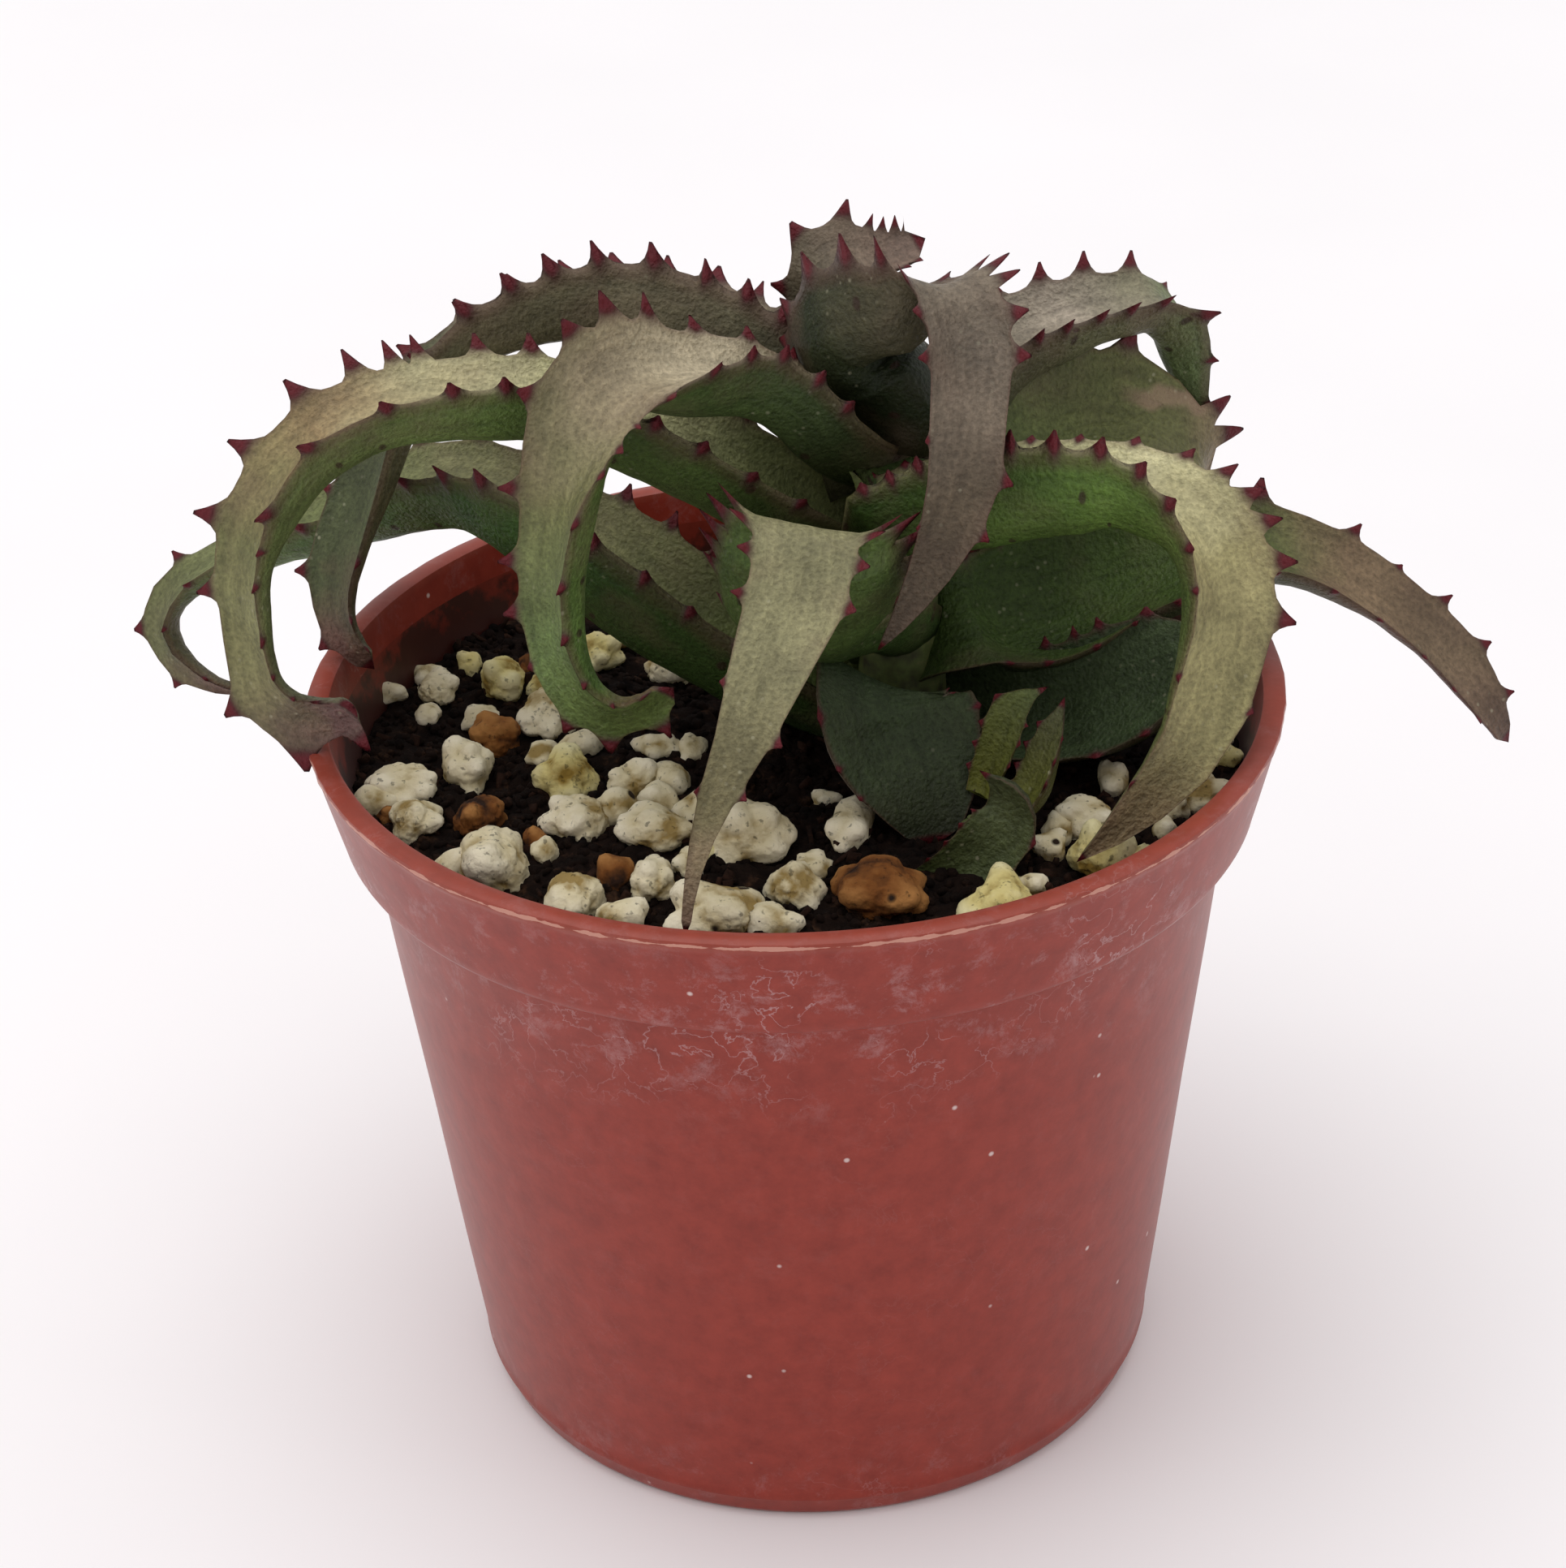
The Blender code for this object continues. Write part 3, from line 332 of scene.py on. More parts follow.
# Each leaf: heading, depth of its channel, tallest tooth, slot, the route of its middle as
# (x, y, z, half width, roll), and the places of its teeth from the route's start along the
# right and left margins, with a factor on a tooth's height where it is not one.
LEAVES = {
    "leaf_left_arch": (188, 0.85, 2.3, "leaf_grey_green", (
        (5, 2.5, 84, 2.8, 15), (-3.5, 0, 90.5, 3.7, 15), (-10, -1, 95, 3.9, 8),
        (-19.2, -2, 98.6, 3.6, 0), (-27, -3.5, 99.5, 3.6, 0), (-34.7, -5, 98.5, 3.6, 5),
        (-39.5, -6, 96.3, 3.8, 6), (-43.3, -7, 92, 3.7, 14), (-46, -8, 85.4, 3.1, 30),
        (-45.9, -9, 79.2, 2.6, 38), (-45.2, -9.5, 74, 2.4, 55), (-42.9, -10, 71.4, 2.6, 68),
        (-40.4, -10, 71.1, 2.3, 80), (-37.7, -11, 72.5, 1.5, 88)),
        ((5, 0.6), (10, 0.8), 15, 20, 25, (29.5, 0.9), (33.7, 0.9), (38.6, 1.1), (40.8, 1.1),
         (43.9, 1.2), (48.6, 1.2), (54.4, 1.25), (60.1, 1.3), (65.6, 1), (74.8, 1.4),
         (79.2, 2.1), (83, 2.2)),
        ((5, 0.6), (10, 0.7), (15, 0.8), (19.5, 0.8), (24, 0.9), (28.3, 0.9), (32.6, 0.9),
         (36.9, 0.9), (42.4, 0.9), (49.5, 1.1), (56.4, 1.2), (60.5, 0.3), (64.1, 0.6),
         (69.2, 0.7), (73, 0.4), (77.1, 0.8), (82.6, 2.4))),
    "leaf_low_left": (165, 0.95, 1.9, "leaf_green", (
        (5, 4, 67, 2.6, 15), (-5.5, 5, 73, 3.9, 5), (-11.5, 7, 77.5, 4.4, 0),
        (-17.5, 10, 80.5, 4.3, -5), (-24, 13, 83, 4.0, -5), (-30, 17, 82.5, 3.8, 0),
        (-36, 19.5, 80, 3.6, 5), (-42.5, 21, 76.5, 3.1, 10), (-49.5, 22, 73, 2.4, 10),
        (-55, 22, 70, 2.0, 20), (-58.5, 22, 66.5, 1.9, 45), (-59, 21.5, 63, 1.7, 55),
        (-57, 20, 60.5, 1.5, 65), (-52, 19, 58.5, 0.4, 60)),
        ((5, 0.5), (10, 0.6), 15, 20, 25, 30, 35, 40.5, 46, 52, 58.5, 65, 71, 77.8, 82.5),
        ((5, 0.5), (9.5, 0.5), (14, 0.6), (18.5, 0.6), (23.5, 0.7), 29, 34.8, 38.7, 44, 50, 57,
         64, (70.5, 0.6), (77, 0.5), (85, 0.6))),
    "leaf_front_left": (205, 0.7, 2, "leaf_grey_green", (
        (6, 0.5, 93, 2.4, 10), (2.5, -0.5, 97, 3.1, 0), (-2, -1.5, 100.1, 3.2, -8),
        (-6.6, -4, 101.2, 3.5, 4), (-10.6, -7, 102.3, 3.9, 30), (-14.6, -10, 101.1, 4.2, 55),
        (-16.9, -12.5, 98.7, 3.9, 45), (-19.2, -14.5, 93.3, 3.7, 14),
        (-20.3, -15.5, 87.4, 3.4, 8), (-20.2, -16.5, 81.3, 3.1, 12),
        (-18.1, -17.5, 76.1, 2.8, 30), (-14.6, -18, 74.5, 2.3, 60),
        (-10.8, -18, 76.6, 1.4, 85)),
        ((3, 0.6), (6.5, 0.7), (10.5, 0.8), (14.8, 0.9), (19.3, 1.3), (22.7, 1.6), (25.8, 1.4),
         (30.2, 1), (37.4, 1), (43.2, 1), (47.2, 1), (51.5, 0.4), (55.8, 1.1), (58.3, 1.6),
         (61.5, 1.8)),
        ((2.8, 0.6), (6.2, 0.7), (10.1, 0.9), (13.6, 0.9), (17.6, 1), (22.5, 0.9), (27.5, 0.5),
         (31, 0.8), (33.6, 0.6), (37.8, 0.8), (43.4, 0.9), (48.3, 0.8), (53.5, 0.6),
         (58.5, 0.9), (62.6, 2.2))),
    "leaf_back_left": (163, 0.75, 2.3, "leaf_purple", (
        (7.2, 7, 89.5, 2, -10), (3, 10, 95.5, 3.2, -22), (-2.8, 13, 98.5, 3.6, -26),
        (-6.2, 15, 99.3, 3.9, -28), (-10.5, 16.2, 100, 4.1, -28), (-15, 17, 100.1, 4, -26),
        (-20, 16.5, 99.4, 3.7, -20), (-25, 15.8, 97.9, 3.4, -12), (-29.5, 15, 95.3, 3.2, 0),
        (-33, 13.5, 91.8, 3.1, 20), (-35.7, 12, 87.8, 3.1, 40), (-37.5, 10, 83.5, 3.1, 50),
        (-39.5, 8, 79, 2.9, 60), (-40.5, 7, 75, 2.5, 65), (-40, 6, 71.5, 1.9, 75),
        (-37.9, 5.5, 68.6, 1.2, 80)),
        ((4, 0.6), (8, 0.7), 12, 15.4, 19.2, 23.2, 27.5, 31.2, 36, 41, 46.5, (53, 0.6),
         (60, 0.5), 67.3, 72.8),
        ((3.5, 0.6), (7, 0.7), 10.3, 13.6, 17.1, (22.7, 1.1), (27.9, 1.1), (32.3, 1.1), 35.9,
         40.1, 46, (53, 0.6), 65, 71.4, 75)),
    "leaf_front": (262, 0.03, 1.8, "leaf_grey_green", (
        (6.2, -1.5, 76, 3.6, -5), (2, -5.4, 77, 5.2, 0), (1.3, -8.8, 80.4, 7.2, -3),
        (1.8, -11, 86.4, 7.5, 0), (1.5, -13.6, 90.1, 5.2, 8), (1.2, -17, 89.6, 4.2, 10),
        (0.2, -20.2, 86.3, 4, 4), (-2.1, -24, 82.4, 3.2, 4), (-4.1, -27, 78.3, 2.3, 8),
        (-6.8, -29, 73, 1.4, 10), (-8.3, -31, 69.5, 0.8, 10), (-9.4, -33, 64.5, 0.4, 10)),
        ((5, 0.5), (10, 0.7), (13.7, 1.1), (15.7, 1.5), (17.6, 1.8), (19.5, 1.9), (21.4, 1.8),
         (23.4, 1.4), (26.2, 1), (30.5, 0.9), (38, 0.4), (47, 0.5)),
        ((5, 0.5), (10, 0.7), (13.9, 1.1), (15.8, 1.5), (17.7, 1.8), (19.6, 1.9), (21.5, 1.7),
         (23.6, 1.3), (26.2, 1), (29.4, 0.9), (41, 0.8), (46, 0.7))),
    "leaf_top": (295, 0.6, 2.2, "leaf_purple", (
        (8.8, 6.1, 92, 4, 0), (7.6, 6.5, 94.5, 4.8, 8), (5.3, 6.2, 97.6, 4.9, 20),
        (5.6, 5, 101.3, 4.2, 26), (7.8, 2.6, 104.1, 4, 24), (10.9, -0.4, 105.6, 3.9, 18),
        (13.5, -3.4, 106.5, 3.7, 8), (14.8, -6.4, 104.6, 3.4, -6), (15.1, -9, 101.7, 3.3, -16),
        (14.6, -11.6, 97.6, 3.1, -20), (14.1, -13.5, 92.8, 2.9, -22),
        (12, -14.5, 87, 2.1, -25), (7.6, -15.5, 80, 0.4, -30)),
        ((3.5, 0.5), (5.4, 0.6), (7.1, 0.7), (8.9, 0.8), (12, 1.1), (15.9, 1.3), (20.1, 1.5),
         (23.4, 1.4), (26.8, 1.1), (31.2, 0.9), (38, 0.3), (46, 0.3)),
        ((3.5, 0.4), (7, 0.4), (11, 0.4), (15, 0.4), (19, 0.5), (22.3, 1), (23.7, 1.2),
         (25.1, 1.1), (28, 1), (31, 1), (40.6, 0.8), (44.9, 0.7))),
    "leaf_crown": (20, 0.9, 1.9, "leaf_purple", (
        (7.6, 9.5, 90.5, 3, 10), (3.8, 9.3, 93.8, 3.1, 6), (2.2, 9.4, 97, 3, 0),
        (1.9, 9.6, 100, 2.9, -4), (2.7, 9.9, 102.5, 2.8, -12), (4.4, 10.4, 103.6, 2.8, -24),
        (6.2, 11.1, 103.5, 2.7, -30), (7.8, 12, 102.8, 2.4, -32), (9.4, 13, 102.3, 2, -32),
        (11.4, 13.8, 102.5, 1.5, -30)),
        ((3, 0.6), (6.5, 0.7), (10, 0.8), (13.2, 1), (16.5, 0.8), (19.2, 0.6), (21.4, 0.8),
         (22.8, 1.2), (24, 1.4)),
        ((3.5, 0.6), (7, 0.7), (11.2, 0.9), (15, 1.1), (18.2, 1.4), (21, 1.2), (22.4, 1.4),
         (23.6, 1.5), (24.7, 1.4))),
    "leaf_back_right": (25, 0.75, 2, "leaf_grey_green", (
        (11.8, 7.2, 90.2, 2, 5), (17.5, 11, 94.6, 3.2, -5), (21.1, 13, 95.9, 3.4, -10),
        (25.5, 15, 96.3, 3.2, -12), (29.9, 17, 96.2, 2.9, -12), (33.6, 19, 95.3, 2.7, -6),
        (36.2, 20.3, 92.5, 3, -4), (37, 21, 89.6, 2.9, -8), (37.4, 21.2, 86.7, 2.4, -12),
        (37.6, 21.2, 84.1, 1.7, -15), (36.4, 21, 79, 0.4, 0)),
        ((3.8, 0.7), (7.3, 0.8), (11, 0.9), (14.1, 0.9), (17.5, 1), (20.6, 1), (24, 1),
         (28.8, 1.2), (34, 0.5), (39, 0.5)),
        ((3.5, 0.7), (7.5, 0.8), (11.4, 0.9), (15.4, 1), (19.5, 1.1), (24.3, 1.1), (28.5, 0.4),
         (32, 0.4), (36, 0.4), (40, 0.4))),
    "leaf_broad_right": (20, 0.5, 2.2, "leaf_grey_green", (
        (13.3, 4.5, 83.5, 2.2, -30), (18.5, 6.5, 85.5, 3.9, -35), (22.2, 9.5, 86.3, 5, -48),
        (27.4, 12, 87.1, 5.7, -44), (32.4, 13.5, 85.9, 5.6, -42), (35.6, 14.8, 83, 4.2, -45),
        (37.7, 16, 80.8, 2.9, -45), (37.6, 16.8, 76.8, 2, -30), (35.5, 16.5, 72, 0.4, -30)),
        ((4, 0.4), (9, 0.4), (14, 0.4), (19, 0.4), (24, 0.4), (29.7, 0.5), (34, 0.5)),
        ((3.5, 0.5), (7.2, 0.6), (11.2, 0.8), (16.2, 1.2), (19.6, 1.2), (28.6, 1.5),
         (30.3, 1.7))),
    "leaf_front_right": (345, 0.95, 2, "leaf_green", (
        (4, -3.5, 87, 2.6, 10), (9, -4, 89.5, 3.6, 15), (15, -4.5, 91.5, 4.2, 20),
        (22, -6, 92.5, 4.2, 20), (28, -8, 92.5, 4, 15), (31.5, -10, 91, 4, 0),
        (34.5, -12, 88.5, 4, -20), (36, -14, 85, 4.1, -35), (36, -16, 80.5, 4.1, -45),
        (34.5, -18, 76, 3.8, -55), (32.5, -20, 71.5, 3.2, -65), (28.5, -22, 67.5, 2.2, -75),
        (23.5, -24, 64, 0.4, -85)),
        ((3.2, 0.5), (5.6, 0.5), (8.2, 0.6), (11, 0.7), (13.5, 0.8), 16.2, 19.9, 23.9, 27.8,
         (31.2, 1.1), (35.8, 1), (40.4, 0.5), (49, 0.35), (60, 0.6)),
        ((3, 0.3), (6, 0.3), (9, 0.3), (12.5, 0.3), (16.5, 0.3), (20.5, 0.3), (25, 0.4),
         (29, 0.7), (32.2, 1), (34.3, 1.1), (36.3, 1.1), (39, 1.2), (42.8, 1.1), (50, 0.3))),
    "leaf_far_right": (8, 0.5, 2, "leaf_purple", (
        (14.2, 0.5, 73.3, 3.6, -30), (17.5, 1.5, 73.6, 5.6, -35), (22, 3, 73.8, 6.4, -35),
        (28.5, 4.5, 75.6, 5.8, -28), (35, 4, 77.4, 4.5, -26), (41.6, 4, 78.2, 3.8, -24),
        (45.8, 4, 76.7, 3.3, -30), (50.2, 4, 73.9, 3, -38), (54.8, 4, 69.9, 2.6, -46),
        (58.5, 4, 66, 2.5, -52), (61, 3, 62.5, 2, -58), (63, 3, 58.5, 1.1, -50)),
        ((3, 0.4), (6.5, 0.4), (10.5, 0.4), (15, 0.4), (20, 0.5), (25, 0.6), (28.6, 1),
         (35.5, 0.4), (41, 0.4), (47, 0.4), (52, 0.6), (55.5, 1)),
        ((3, 0.4), (6.5, 0.4), (10.5, 0.4), (14.5, 0.5), (19, 0.6), (23, 0.8), (27.9, 1.2),
         (35.9, 0.8), (41, 0.3), (46, 0.9), (51, 0.9), (55.8, 1))),
    "leaf_low_right": (350, 0.5, 1.3, "leaf_deep_green", (
        (16, -1.5, 65.4, 3, -25), (20.5, -3, 66.2, 5, -40), (26, -4.5, 68.2, 5.6, -40),
        (30.5, -4.5, 70.6, 5, -35), (34, -5, 71.6, 3.1, -30), (37, -6, 70.5, 0.6, -15)),
        (3, 6.5, 10, 13.5, 17, 20.5), (3, 6.5, 10, 13.5, 17, 20.5)),
    "leaf_low_front": (262, 0.35, 1.0, "leaf_deep_green", (
        (8.3, -3.5, 69, 3.4, 8), (7.6, -7, 72.6, 5.8, 20), (8.2, -10.5, 71.8, 7.2, 28),
        (9.4, -12.7, 68.8, 7, 30), (10.6, -14.4, 65, 5.2, 28), (11.1, -15.4, 61.3, 2.4, 20)),
        ((3, 0.5), (6, 0.5), 9.5, (13, 0.5), (16, 0.5)), ((3, 0.4), (6, 0.4), (9, 0.4),
         (12, 0.4), (15, 0.4))),
    "leaf_back": (75, 0.6, 1.9, "leaf_grey_green", (
        (10, 8.3, 84, 2.4, 0), (12, 14.5, 87.5, 3.6, 0), (14, 20, 88.5, 3.9, 0),
        (16, 26, 86, 3.7, 0), (17, 31, 81.5, 3.3, 0), (17.5, 35, 76, 2.8, 0),
        (17.5, 37.5, 71.5, 1.8, 0), (17, 38.5, 69.5, 0.4, 0)),
        ((3, 0.5), (7, 0.8), 11.5, 16, 20.5, 25, 30, 35),
        ((4, 0.5), (8, 0.8), 12.5, 17.5, 22, 27, 31.5, 36)),
    "leaf_low_back": (118, 0.6, 1.8, "leaf_deep_green", (
        (8.5, 8.5, 72, 2.4, 0), (5.5, 13.5, 73.5, 3.9, 0), (2, 19.5, 73.5, 4.2, 0),
        (-1, 25, 72, 3.8, 0), (-3.5, 30, 69, 2.6, 0), (-5, 33.5, 65.5, 0.4, 0)),
        ((3, 0.5), 7, 11, 15.5, 20, 24.5), ((4, 0.5), 8, 12.5, 17, 21.5, 26)),
    "offset_leaf_front": (320, 0.4, 0.7, "leaf_deep_green", (
        (9.3, -20.5, 59.3, 1.2, -80), (12.3, -21, 60.6, 2.1, -95),
        (15.3, -21, 62.9, 2.8, -105), (17.1, -20.5, 65.5, 2.5, -105),
        (16.8, -20, 67.4, 1.7, -95), (15.8, -19.5, 68.6, 0.4, -90)),
        (2, 4.5, 7, 9.5),
        (2, 4.5, 7, 9.5)),
    "offset_leaf_left": (60, 0.4, 0.7, "leaf_green", (
        (15, -14, 64, 1.1, -5), (16, -13.5, 66.5, 1.5, 0), (17, -13, 69, 1.6, -5),
        (17.8, -12.5, 71, 1.6, -15), (20, -12, 72.5, 0.4, -20)),
        (1.5, 3.5, 5.5, 7.5), (2, 4, 6, 8)),
    "offset_leaf_right": (20, 0.4, 0.7, "leaf_green", (
        (17.2, -16, 63.5, 1.2, -20), (18.8, -15.5, 65, 1.6, -15), (20, -14.5, 67, 1.6, -15),
        (21, -13.5, 69, 1.3, -25), (22, -12.5, 71, 0.4, -30)),
        (1.5, 3.5, 5.5, 7.5), (2, 4, 6, 8)),
}


def blurred(values, reach, take=np.mean):
    """Each value taken together with its neighbours on both sides."""
    wide = np.pad(values, reach, mode="edge")
    return take(np.lib.stride_tricks.sliding_window_view(wide, 2 * reach + 1), axis=1)


def smooth_rows(rows):
    """A smooth curve through rows of numbers whose first three columns are a point."""
    rows = np.array(rows, dtype=float)
    gaps = np.linalg.norm(np.diff(rows[:, :3], axis=0), axis=1) ** 0.75
    slopes = np.diff(rows, axis=0) / gaps[:, None]
    tangents = np.empty_like(rows)
    before, after = gaps[:-1, None], gaps[1:, None]
    tangents[1:-1] = (slopes[:-1] * after + slopes[1:] * before) / (before + after)
    tangents[0] = 2 * slopes[0] - tangents[1]
    tangents[-1] = 2 * slopes[-1] - tangents[-2]
    out = []
    for i, span in enumerate(gaps):
        for s in np.arange(CURVE_STEPS) / CURVE_STEPS:
            out.append((2 * s ** 3 - 3 * s ** 2 + 1) * rows[i]
                       + (s ** 3 - 2 * s ** 2 + s) * span * tangents[i]
                       + (3 * s ** 2 - 2 * s ** 3) * rows[i + 1]
                       + (s ** 3 - s ** 2) * span * tangents[i + 1])
    out = np.array(out + [rows[-1]])
    inner = np.stack([blurred(column, ROUNDING) for column in out.T], axis=1)
    ends = np.minimum(np.arange(len(out)), np.arange(len(out))[::-1])[:, None]
    return np.where(ends < ROUNDING, out, inner)


def distances(curve):
    """How far along the curve each of its rows lies."""
    steps = np.linalg.norm(np.diff(curve[:, :3], axis=0), axis=1)
    return np.concatenate([[0.0], np.cumsum(steps)])


def sample(curve, places):
    """The curve's rows at distances along it."""
    along = distances(curve)
    return np.stack([np.interp(places, along, column) for column in curve.T], axis=-1)


def leaf_frames(curve, places, heading):
    """Points, unit tangents, sideways and upward directions, half widths along a leaf."""
    length = distances(curve)[-1]
    rows = sample(curve, places)
    along = (sample(curve, np.clip(places + 0.4, 0, length))
             - sample(curve, np.clip(places - 0.4, 0, length)))[..., :3]
    along /= np.linalg.norm(along, axis=-1)[..., None]
    turn = math.radians(heading)
    right = np.array([math.sin(turn), -math.cos(turn), 0.0])
    side = right - (along @ right)[..., None] * along
    side /= np.linalg.norm(side, axis=-1)[..., None]
    up = np.cross(side, along)
    roll = np.radians(rows[..., 4])[..., None]
    side, up = side * np.cos(roll) + up * np.sin(roll), up * np.cos(roll) - side * np.sin(roll)
    return rows[..., :3], along, side, up, rows[..., 3]


def body_room(curve, heading):
    """How deep the body may be along a leaf before the inside of a bend folds into itself."""
    fine = np.linspace(BEND_SPAN, distances(curve)[-1] - BEND_SPAN, 120)
    up = leaf_frames(curve, fine, heading)[3]
    ends = sample(curve, fine + BEND_SPAN)[:, :3] + sample(curve, fine - BEND_SPAN)[:, :3]
    bend = (ends - 2 * sample(curve, fine)[:, :3]) / BEND_SPAN ** 2
    room = BEND_ROOM / np.maximum(-(bend * up).sum(axis=1), 0.05)
    return fine, blurred(blurred(room, 5, np.min), 5)


def margin_rings(teeth, start, length, tallest):
    """Distances of the rings along one margin, the height of its teeth there, and how far
    up its tooth each ring is, from 0 between the teeth to 1 at a tip."""
    spots = [(tooth, 1.0) if not isinstance(tooth, tuple) else tooth for tooth in teeth]
    tips = np.array([start + place for place, _ in spots])
    tall = tallest * np.array([factor for _, factor in spots])
    # Teeth are tallest a little before the middle of the leaf.
    tall = tall * (0.55 + 0.53 * np.sin(np.pi * np.clip(tips / length * 1.1, 0, 1)) ** 0.6)
    gaps = np.diff(np.concatenate([[0.0], tips, [length + 2.0]]))
    wanted = 0.8 + 0.5 * tall
    root = np.minimum(wanted, 0.48 * np.minimum(gaps[:-1], gaps[1:]))
    # Teeth that crowd each other are straight spikes, and the others have flared roots.
    flare = 0.4 + 2.2 * root / wanted
    rings = [(start * share, 0.0, 0.0) for share in (0.0, 0.45, 0.8)]
    for i, tip in enumerate(tips):
        for ring in TOOTH_RINGS:
            shape = (1 - abs(ring)) ** flare[i] if abs(ring) > 0.1 else 1 - abs(ring) * 2.0
            rings.append((tip + ring * root[i], shape * tall[i], shape))
        if i + 1 < len(tips):
            after = tips[i + 1] - root[i + 1]
            rings.append(((tip + root[i] + after) / 2, 0.0, 0.0))
    last = rings[-1][0]
    rings += [(last + (length - last) * share, 0.0, 0.0) for share in (0.3, 0.6, 0.85, 1.0)]
    places, heights, rise = np.array(rings).T
    return np.maximum.accumulate(np.minimum(places, length)), heights, rise


def with_sheath(rows):
    """The route with its foot run down into the stem, where the base is broad and clasps it."""
    x, y, z, half, roll = rows[0]
    share = (z - SHEATH_DEEP - STEM_FOOT[2]) / (STEM_TOP[2] - STEM_FOOT[2])
    axis = [a + (b - a) * share for a, b in zip(STEM_FOOT, STEM_TOP)]
    # Half widths of the sheaths go from 4.6 mm low on the stem to 3 mm at its top.
    broad = 4.6 - 1.6 * min(max((z - 64.0) / 30.0, 0.0), 1.0)
    first = (x, y, z, max(half, (broad + rows[1][3]) / 2), roll)
    return ((axis[0], axis[1], z - SHEATH_DEEP, broad, roll), first) + tuple(rows[1:])


def tube_faces(rings, columns):
    """Faces of a tube of rings that is closed by two more points, at its foot and its tip."""
    foot, last = rings * columns, (rings - 1) * columns
    faces = []
    for ring in range(0, last, columns):
        for j in range(columns):
            a, b = ring + j, ring + (j + 1) % columns
            faces.append((a, b, b + columns, a + columns))
    for j in range(columns):
        after = (j + 1) % columns
        faces.append((foot, after, j))
        faces.append((foot + 1, last + j, last + after))
    return faces


def build_leaf(name, heading, channel, tallest, slot, rows, teeth_right, teeth_left):
    """One leaf as a closed fleshy blade with a channelled face, a rounded back and teeth."""
    assert len(teeth_right) == len(teeth_left), name
    clasps = not name.startswith("offset")
    curve = smooth_rows(with_sheath(rows) if clasps else rows)
    along_curve = distances(curve)
    length, start = along_curve[-1], along_curve[CURVE_STEPS] if clasps else 0.0
    (left, left_tall, left_rise), (right, right_tall, right_rise) = (
        margin_rings(teeth, start, length, tallest) for teeth in (teeth_left, teeth_right))
    top = [-1.0, *[-a for a in reversed(ACROSS)], 0.0, *ACROSS, 1.0]
    back = top[-2:0:-1]
    across = np.array(top + back)
    is_back = np.array([0.0] * len(top) + [1.0] * len(back))
    weight = (1 + across) / 2
    places = left[:, None] * (1 - weight) + right[:, None] * weight
    points, along, side, up, half = leaf_frames(curve, places, heading)
    # Depth of the channel and thickness of the flesh under it, kept inside the bends
    share = np.clip((places - start) / (length - start), 0, 1)
    fine, room = body_room(curve, heading)
    depth = (channel * (1 - share) ** 1.2 + 0.12) * half
    thick = np.minimum((1.1 - 0.5 * share) * half + TIP_THICKNESS * 0.75, THICKEST)
    thick = thick * FLESH.get(name, 1.0)
    squeeze = np.minimum(1.0, np.interp(places, fine, room) / (depth + thick))
    depth, thick = depth * squeeze, np.maximum(thick * squeeze, TIP_THICKNESS)
    lift = depth * (across ** 2 - 1) - is_back * thick * (1 - across ** 2) ** 0.5
    width = np.abs(across)
    # How far round the body each point lies from the middle of its own face
    way_round = np.where(is_back > 0, np.arcsin(across) * (half + thick) / 2, half * across)
    near = np.where(across < 0, 1.0, 0.0)
    tall = left_tall[:, None] * near + right_tall[:, None] * (1 - near)
    rise = left_rise[:, None] * near + right_rise[:, None] * (1 - near)
    fade = np.where(is_back > 0, 0.3 * np.clip((width - 0.95) / 0.025, 0, 1),
                    np.clip((width - 0.84) / 0.16, 0, 1) ** 2.2)
    push = tall * fade
    # Teeth carry on the slope of the channel's sides, and lean a little to the leaf's tip.
    lean = np.arctan(0.8 + depth / half)
    out = side * (half * across + push * np.cos(lean) * np.sign(across))[..., None]
    raised = up * (lift + push * np.sin(lean))[..., None]
    body = points + out + raised + along * (0.25 * push)[..., None]
    shift = Vector((len(name) * 3.1, heading * 0.7, 5.0))
    flat = body.reshape(-1, 3)
    for i, spot in enumerate(flat):
        swell = sum(noise.noise(Vector(spot) / size + shift) * height for size, height in SWELLINGS)
        flat[i] = spot + up.reshape(-1, 3)[i] * swell * (1 - fade[i % len(across)])
    foot = sample(curve, np.array([0.0]))[0, :3]
    tip = sample(curve, np.array([length]))[0, :3] + along[-1, 0] * POINT_PAST
    rings, columns = places.shape
    mesh = bpy.data.meshes.new(name)
    mesh.from_pydata((np.concatenate([flat, [foot, tip]]) * MM).tolist(), [],
                     tube_faces(rings, columns))
    # What the skin needs to know at each point, and at the foot and the tip
    for key, numbers, ends in (
            ("reach", share, (0.0, 1.0)), ("edge", np.tile(width, rings), (0.0, 0.0)),
            ("back", np.tile(np.where(width == 1, 0.5, is_back), rings), (0.5, 0.5)),
            ("tooth", rise * fade, (0.0, 1.0)), ("along", places, (0.0, length)),
            ("across", way_round, (0.0, 0.0))):
        layer = mesh.attributes.new(key, "FLOAT", "POINT")
        layer.data.foreach_set("value", np.append(numbers, ends).astype(np.float32))
    return add_piece("fleshy_" + name, mesh, leaf_skin(name), [name])


